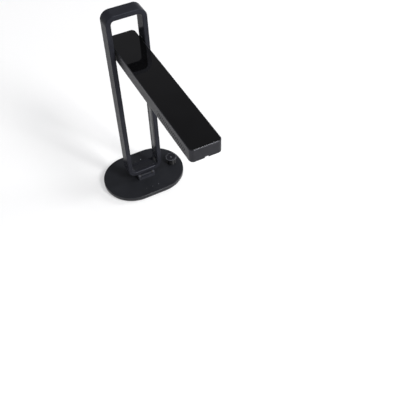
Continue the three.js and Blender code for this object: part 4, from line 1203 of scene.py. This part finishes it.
@dataclass
class UprightLoop:
    """The loop of flat bar with its cable channel, trim and pivot bushes."""

    rail: float = 8.57
    corner: float = 15.5
    corner_steps: int = 20
    edge: float = 0.9
    trim_gap: float = 0.3
    trim_wall: float = LOOP.low[2] + rail - TRIM.low[2]
    trim_edge: float = 0.2
    channel_depth: float = 3.0
    channel_half: float = TRIM.size[1] / 2.0 + trim_gap
    channel_top: float = TRIM.high[2] + trim_gap
    seat: float = 5.1
    seat_ends: Pair = (-3.0, 6.5)
    bush_bore: float = 3.2
    bush_sleeve: float = 5.0
    bush_gap: float = 0.1
    bush_edge: float = 0.15

    def lining(self, offset: float, half: float, top: float) -> Mesh:
        """Makes the solid inside the loop's window, widened by an offset and open at a height.

        Args:
            offset: How far it reaches past the window's edge.
            half: Half its depth.
            top: Where it ends.

        Returns:
            The mesh.
        """
        x, foot, middle = LOOP.high[0] - self.rail, LOOP.low[2] + self.rail, LOOP.middle[1]
        mesh = block((-x - offset, middle - half, foot - offset), (x + offset, middle + half, top))
        feet = [e for e in edges_along(mesh, Axis.Y) if all(v.co.z < foot + OVERRUN for v in e.verts)]
        return rounded(mesh, feet, self.corner - self.rail + offset, CORNER_STEPS)

    def loop(self) -> None:
        """Builds the loop itself."""
        mesh = slab(LOOP.low, LOOP.high, self.corner, Axis.Y, self.corner_steps)
        openings = [face_towards(mesh, (0.0, side, 0.0)) for side in (-1.0, 1.0)]
        for opening in openings:
            bmesh.ops.inset_region(mesh, faces=[opening], thickness=self.rail, use_even_offset=True)
        rims = [edge for opening in openings for edge in opening.edges]
        bmesh.ops.delete(mesh, geom=openings, context="FACES_ONLY")
        bmesh.ops.bridge_loops(mesh, edges=rims)
        bmesh.ops.recalc_face_normals(mesh, faces=mesh.faces)
        softened(mesh, self.edge, CHAMFER_STEPS)
        body = draft(mesh)
        carved(body, self.lining(self.channel_depth, self.channel_half, self.channel_top))
        near, far = (LOOP.high[0] - self.rail + end for end in self.seat_ends)
        seats = bmesh.new()
        for side in (-1.0, 1.0):
            add_rod(seats, self.seat, (side * near, *PIVOT), (side * far, *PIVOT), FINE_STEPS)
        carved(body, seats)
        dressed(body, "stem_frame", ANODISED, "stem")

    def channel_cover(self) -> None:
        """Builds the trim that closes the channel."""
        body = draft(self.lining(self.trim_wall, TRIM.size[1] / 2.0, TRIM.high[2]))
        carved(body, self.lining(0.0, self.channel_half + OVERRUN, TRIM.high[2] + OVERRUN))
        carved_soft(body, self.trim_edge)
        dressed(body, "channel_trim", TRIM_PLASTIC, "stem")

    def bushes(self) -> None:
        """Builds the two flanged bushes that the arm's shafts turn in."""
        near, far, flange = BUSH.low[0], BUSH.high[0], BUSH.size[2] / 2.0
        seat = LOOP.high[0] - self.rail - self.bush_gap
        profile = [
            (self.bush_bore, near), (flange, near), (flange, seat), (self.bush_sleeve, seat),
            (self.bush_sleeve, far), (self.bush_bore, far), (self.bush_bore, near),
        ]
        for name, side in (("pivot_bush_left", -1), ("pivot_bush_right", 1)):
            bush = softened(turned(profile, (0.0, 0.0), FINE_STEPS), self.bush_edge)
            laid_along_x(bush, side, (0.0, *PIVOT))
            dressed(bush, name, BEARING, "stem")

    def build(self) -> None:
        """Builds the loop's pieces."""
        self.loop()
        self.channel_cover()
        self.bushes()


@dataclass
class ScannerArm:
    """The arm: vented housing, gloss panel, bottom cover, light, camera and their screws."""

    gap: float = 0.1
    corner: float = 6.5
    least_corner: float = 0.3
    wall: float = 2.0
    top_edge: float = 0.5
    low_edge: float = 0.8
    bed_inset: float = PANEL.inside(HOUSING) - gap
    bed: float = PANEL.low[2] - gap
    roof: float = 1.6
    panel_edge: float = 0.15
    vent_front: float = HOUSING.low[1] + 17.55
    vent_length: float = 90.0
    vent_pitch: float = 4.5
    vent_middle: float = PIVOT[1] - 2.6
    vent_row_pitch: float = 3.6
    vent_radius: float = 1.15
    vent_margin: float = 1.725
    vent_sides: int = 16
    pivot_hole: float = 3.0
    notch: Point = (3.0, 3.0, 2.6)
    notch_corner: float = 1.0
    cover_edge: float = 0.2
    tray_corner: float = 2.4
    tray_wall: float = 1.2
    light_lap: float = 1.2
    light_corner: float = 1.2
    light_gap: float = 0.3
    light_root: float = 0.6
    light_edge: float = 0.3
    camera_hole: float = 12.1
    bezel_face: tuple[Pair, ...] = ((8.0, 0.9), (9.4, 0.25), (10.2, 0.0), (11.4, 0.0), (11.9, 0.5))
    barrel_face: tuple[Pair, ...] = ((6.3, 0.5), (6.9, 0.0), (7.5, 0.0), (7.7, 0.2))
    lens_bulge: float = 1.6
    lens_steps: int = 12
    screws: ScrewSize = ScrewSize(head=0.6, thread=1.1, bore=1.2, well=2.2)

    @property
    def vent_rows(self) -> Point:
        """Heights of the three rows of vent holes."""
        middle, pitch = self.vent_middle, self.vent_row_pitch
        return (middle - pitch, middle, middle + pitch)

    @property
    def rim(self) -> float:
        """Height of the bottom cover's upper side, with the gap above it."""
        return ARM_COVER.high[2] + self.gap

    def outline(self, inset: float, low: float, high: float) -> Mesh:
        """Makes a slab of the arm's outline.

        Args:
            inset: How far its outline lies inside the arm's.
            low: Height of its underside.
            high: Height of its top.

        Returns:
            The mesh.
        """
        start = (HOUSING.low[0] + inset, HOUSING.low[1] + inset, low)
        end = (HOUSING.high[0] - inset, HOUSING.high[1] - inset, high)
        return slab(start, end, max(self.corner - inset, self.least_corner))

    def vents(self) -> Mesh:
        """Makes the rods that cut the vent holes, every second row shifted by half a pitch.

        Returns:
            The mesh.
        """
        rods = bmesh.new()
        near, far = HOUSING.high[0] - self.wall - OVERRUN, HOUSING.high[0] + OVERRUN
        for row, z in enumerate(self.vent_rows):
            along = (row % 2) * self.vent_pitch / 2.0
            while along <= self.vent_length:
                y = self.vent_front + along
                for side in (-1.0, 1.0):
                    add_rod(rods, self.vent_radius, (side * near, y, z), (side * far, y, z), self.vent_sides)
                along += self.vent_pitch
        return rods

    def housing(self) -> None:
        """Builds the housing: a tray open below, with the panel's bed, vents, pivot holes and notch."""
        foot, top = HOUSING.low[2], HOUSING.high[2]
        mesh = self.outline(0.0, foot, top)
        rounded(mesh, edges_at(mesh, Axis.Z, top), self.top_edge, CHAMFER_STEPS)
        rounded(mesh, edges_at(mesh, Axis.Z, foot), self.low_edge, WIDE_STEPS)
        sunk(mesh, face_towards(mesh, UP), self.bed_inset - self.top_edge, top - self.bed)
        sunk(mesh, face_towards(mesh, DOWN), self.wall - self.low_edge, self.bed - self.roof - foot)
        body = carved(draft(mesh), self.vents())
        reach = HOUSING.high[0] + OVERRUN
        carved(body, rod(self.pivot_hole, (-reach, *PIVOT), (reach, *PIVOT)))
        half, depth, height = self.notch
        low = (-half, HOUSING.low[1] - OVERRUN, foot - OVERRUN)
        carved(body, slab(low, (half, HOUSING.low[1] + depth, foot + height), self.notch_corner, Axis.Y, 6))
        # The vent holes' walls take painted shade
        dressed(body, "arm_housing", SATIN, "arm", [Accent(VENT_PAINTED_SHADE, self.in_vent)])

    def in_vent(self, middle: Vector, normal: Vector) -> bool:
        """Tells whether a face of the housing is the wall of a vent hole, which takes painted shade.

        Args:
            middle: The face's middle.
            normal: Its normal.

        Returns:
            Whether it is.
        """
        margin = self.vent_margin
        along = self.vent_front - margin < middle.y < self.vent_front + self.vent_length + margin
        within = self.vent_rows[0] - margin < middle.z < self.vent_rows[2] + margin
        inside = HOUSING.high[0] - self.wall < abs(middle.x) < HOUSING.high[0] - SAME_PLACE
        return along and within and inside and abs(normal.x) < ACROSS

    def panel(self) -> None:
        """Builds the gloss panel that lies in the housing's bed."""
        mesh = self.outline(self.bed_inset + self.gap, PANEL.low[2], PANEL.high[2])
        rounded(mesh, edges_at(mesh, Axis.Z, PANEL.high[2]), self.panel_edge)
        dressed(mesh, "arm_top_panel", GLOSS_PANEL, "arm")

    def bottom_cover(self) -> None:
        """Builds the bottom cover with the openings for the light, the camera and the screws."""
        mesh = self.outline(ARM_COVER.inside(HOUSING), ARM_COVER.low[2], ARM_COVER.high[2])
        body = draft(softened(mesh, self.cover_edge))
        low, high = ARM_COVER.low[2] - OVERRUN, ARM_COVER.high[2] + OVERRUN
        carved(body, self.light_slab(self.light_lap, low, high))
        carved(body, rod(self.camera_hole, (*BEZEL.plan, low), (*BEZEL.plan, high), ROUND_STEPS))
        wells, bores = four_screws("arm_screw", self.screws, low, high, "arm")
        carved(carved(body, wells), bores)
        dressed(body, "arm_bottom_cover", BLACK_PLASTIC, "arm")

    def light_slab(self, inset: float, low: float, high: float) -> Mesh:
        """Makes a slab between two heights at an inset from the diffuser's outline."""
        start = (LIGHT.low[0] + inset, LIGHT.low[1] + inset, low)
        return slab(start, (LIGHT.high[0] - inset, LIGHT.high[1] - inset, high), self.light_corner)

    def light(self) -> None:
        """Builds the diffuser: a tray whose floor shows through the bottom cover."""
        low, top = LIGHT.low[2], LIGHT.high[2]
        tray = slab((LIGHT.low[0], LIGHT.low[1], self.rim), LIGHT.high, self.tray_corner)
        sunk(tray, face_towards(tray, UP), self.tray_wall, top - self.rim - self.tray_wall)
        window = self.light_slab(self.light_lap + self.light_gap, low, self.rim + self.light_root)
        rounded(window, edges_at(window, Axis.Z, low), self.light_edge)
        body = carved(draft(tray), window, Carving.JOIN)
        dressed(body, "light_diffuser", DIFFUSER, "arm")

    def camera_parts(self) -> None:
        """Builds the camera's bezel, barrel and front lens."""
        outer, top = BEZEL.size[0] / 2.0, BEZEL.high[2]
        bezel = [(radius, BEZEL.low[2] + height) for radius, height in self.bezel_face]
        bezel += [(bezel[-1][0], self.rim), (outer, self.rim), (outer, top), (bezel[0][0], top), bezel[0]]
        dressed(turned(bezel, BEZEL.plan), "camera_bezel", BEZEL_GLOSS, "arm")
        barrel = [(radius, BARREL.low[2] + height) for radius, height in self.barrel_face]
        barrel += [(barrel[-1][0], BARREL.high[2]), (barrel[0][0], BARREL.high[2]), barrel[0]]
        dressed(turned(barrel, BARREL.plan), "camera_barrel", BLACK_PLASTIC, "arm")
        edge, radius = LENS.low[2] + self.lens_bulge, LENS.size[0] / 2.0
        lens = [(0.0, LENS.high[2]), (radius, LENS.high[2]), (radius, edge)]
        for step in range(1, self.lens_steps + 1):
            turn = step / self.lens_steps * math.pi / 2.0
            lens.append((radius * math.cos(turn), edge - self.lens_bulge * math.sin(turn)))
        dressed(turned(lens, LENS.plan), "camera_lens", LENS_GLASS, "arm")

    def build(self) -> None:
        """Builds the arm's pieces."""
        self.housing()
        self.panel()
        self.bottom_cover()
        self.light()
        self.camera_parts()


@dataclass
class CarriedNodes:
    """The model's own pieces that keep their shape and take a finish here."""

    edge: float = 0.12
    edge_steps: int = 2
    weld: float = 0.01

    def build(self) -> None:
        """Gives each shown node the finish of its slot and a fine rounding of its edges."""
        slots = {entry["node"]: entry["material_slot"] for entry in frame["record"]["subparts"]}
        for name, node in frame["nodes"].items():
            finish = BY_SLOT[slots[name]]
            node.data.materials.clear()
            node.data.materials.append(finish.material())
            weld = node.modifiers.new("weld", "WELD")
            weld.merge_threshold = self.weld * MM
            bevel = node.modifiers.new("edge", "BEVEL")
            bevel.width = self.edge * MM
            bevel.segments = self.edge_steps
            bevel.limit_method = "ANGLE"
            bevel.angle_limit = SMOOTH_BELOW
            shade(node, False)
            log.info("%s: carried over as %s", name, finish.slot)


@dataclass(frozen=True)
class Softbox:
    """A soft light: its place and its width and height in metres, and how bright its face is."""

    name: str
    place: Point
    size: Pair
    radiance: float


@dataclass
class Studio:
    """Pale floor, soft lights and the camera at the photograph's angle.

    Places and sizes are in metres, and the lens and the sensor in millimetres.
    """

    eye: Point = (-0.26550, -0.78799, 0.87414)
    right: Point = (0.88536, -0.46453, -0.01892)
    down: Point = (-0.36263, -0.66453, -0.65337)
    forward: Point = (0.29094, 0.58533, -0.75680)
    lens: float = 52.512
    sensor: float = 36.0
    clip: Pair = (0.05, 30.0)
    aim: Point = (0.0, 0.0, 0.1)
    floor_half: float = 6.0
    floor_tone: float = 0.53
    floor_glow: float = 0.432
    floor_roughness: float = 0.9
    floor_specular: float = 0.1
    sky_stops: tuple[Pair, ...] = ((0.0, 0.9), (0.4, 0.5), (0.5, 0.22), (0.66, 0.138), (0.85, 0.12))
    sky_blue: float = 1.06
    softboxes: tuple[Softbox, ...] = (
        Softbox("key_softbox", (1.7, -4.1, 4.0), (1.3, 2.5), 29.0),
        Softbox("side_softbox", (5.1, -1.0, 3.0), (2.2, 2.2), 11.0),
        Softbox("overhead_softbox", (-0.3, -0.2, 6.0), (3.0, 3.0), 2.4),
    )

    def camera(self) -> None:
        """Places the camera."""
        data = bpy.data.cameras.new("camera")
        data.sensor_width = self.sensor
        data.lens = self.lens
        data.clip_start, data.clip_end = self.clip
        camera = bpy.data.objects.new("camera", data)
        columns = (Vector(self.right), -Vector(self.down), -Vector(self.forward))
        camera.matrix_world = Matrix.Translation(self.eye) @ Matrix(columns).transposed().to_4x4()
        bpy.context.scene.collection.objects.link(camera)
        bpy.context.scene.camera = camera

    def soft_light(self, box: Softbox) -> None:
        """Adds a soft light that looks at the scanner.

        Args:
            box: The light's place, size and brightness.
        """
        width, height = box.size
        data = bpy.data.lights.new(box.name, "AREA")
        data.shape = "RECTANGLE"
        data.size, data.size_y = width, height
        data.energy = box.radiance * math.pi * width * height
        light = bpy.data.objects.new(box.name, data)
        light.location = box.place
        light.rotation_mode = "QUATERNION"
        light.rotation_quaternion = (Vector(self.aim) - Vector(box.place)).to_track_quat("-Z", "Y")
        bpy.context.scene.collection.objects.link(light)

    def sky(self) -> None:
        """Gives the room: bright near the horizon and dim above, as in a studio with white walls."""
        world = bpy.data.worlds.new("room")
        world.use_nodes = True
        tree = world.node_tree
        place = tree.nodes.new("ShaderNodeTexCoord")
        split = tree.nodes.new("ShaderNodeSeparateXYZ")
        ramp = tree.nodes.new("ShaderNodeValToRGB")
        elements = ramp.color_ramp.elements
        while len(elements) < len(self.sky_stops):
            elements.new(0.5)
        for element, (position, level) in zip(elements, self.sky_stops):
            element.position = position
            element.color = (level, level, level * self.sky_blue, 1.0)
        tree.links.new(place.outputs["Generated"], split.inputs["Vector"])
        tree.links.new(split.outputs["Z"], ramp.inputs["Fac"])
        tree.links.new(ramp.outputs["Color"], tree.nodes["Background"].inputs["Color"])
        bpy.context.scene.world = world

    def floor(self) -> None:
        """Lays the plain floor."""
        mesh = bmesh.new()
        bmesh.ops.create_grid(mesh, x_segments=1, y_segments=1, size=self.floor_half)
        floor = draft(mesh, "floor")
        made = bpy.data.materials.new("pale_floor")
        made.use_nodes = True
        put(made.node_tree.nodes["Principled BSDF"], {
            "Base Color": (self.floor_tone, self.floor_tone, self.floor_tone, 1.0),
            "Emission Color": (1.0, 1.0, 1.0, 1.0),
            "Emission Strength": self.floor_glow,
            "Roughness": self.floor_roughness,
            "Specular IOR Level": self.floor_specular,
        })
        floor.data.materials.append(made)

    def build(self) -> None:
        """Builds the studio."""
        self.camera()
        self.floor()
        self.sky()
        for box in self.softboxes:
            self.soft_light(box)
        bpy.context.scene.view_settings.view_transform = "Standard"


def main() -> None:
    """Builds the studio and each sub-assembly in order."""
    logging.basicConfig(level=logging.INFO, format="%(message)s")
    builders: list[Callable[[], None]] = [
        Studio().build,
        CarriedNodes().build,
        WeightedBase().build,
        RotaryKnob().build,
        FoldHinge().build,
        UprightLoop().build,
        ScannerArm().build,
    ]
    for builder in builders:
        builder()


if __name__ == "__main__":
    main()
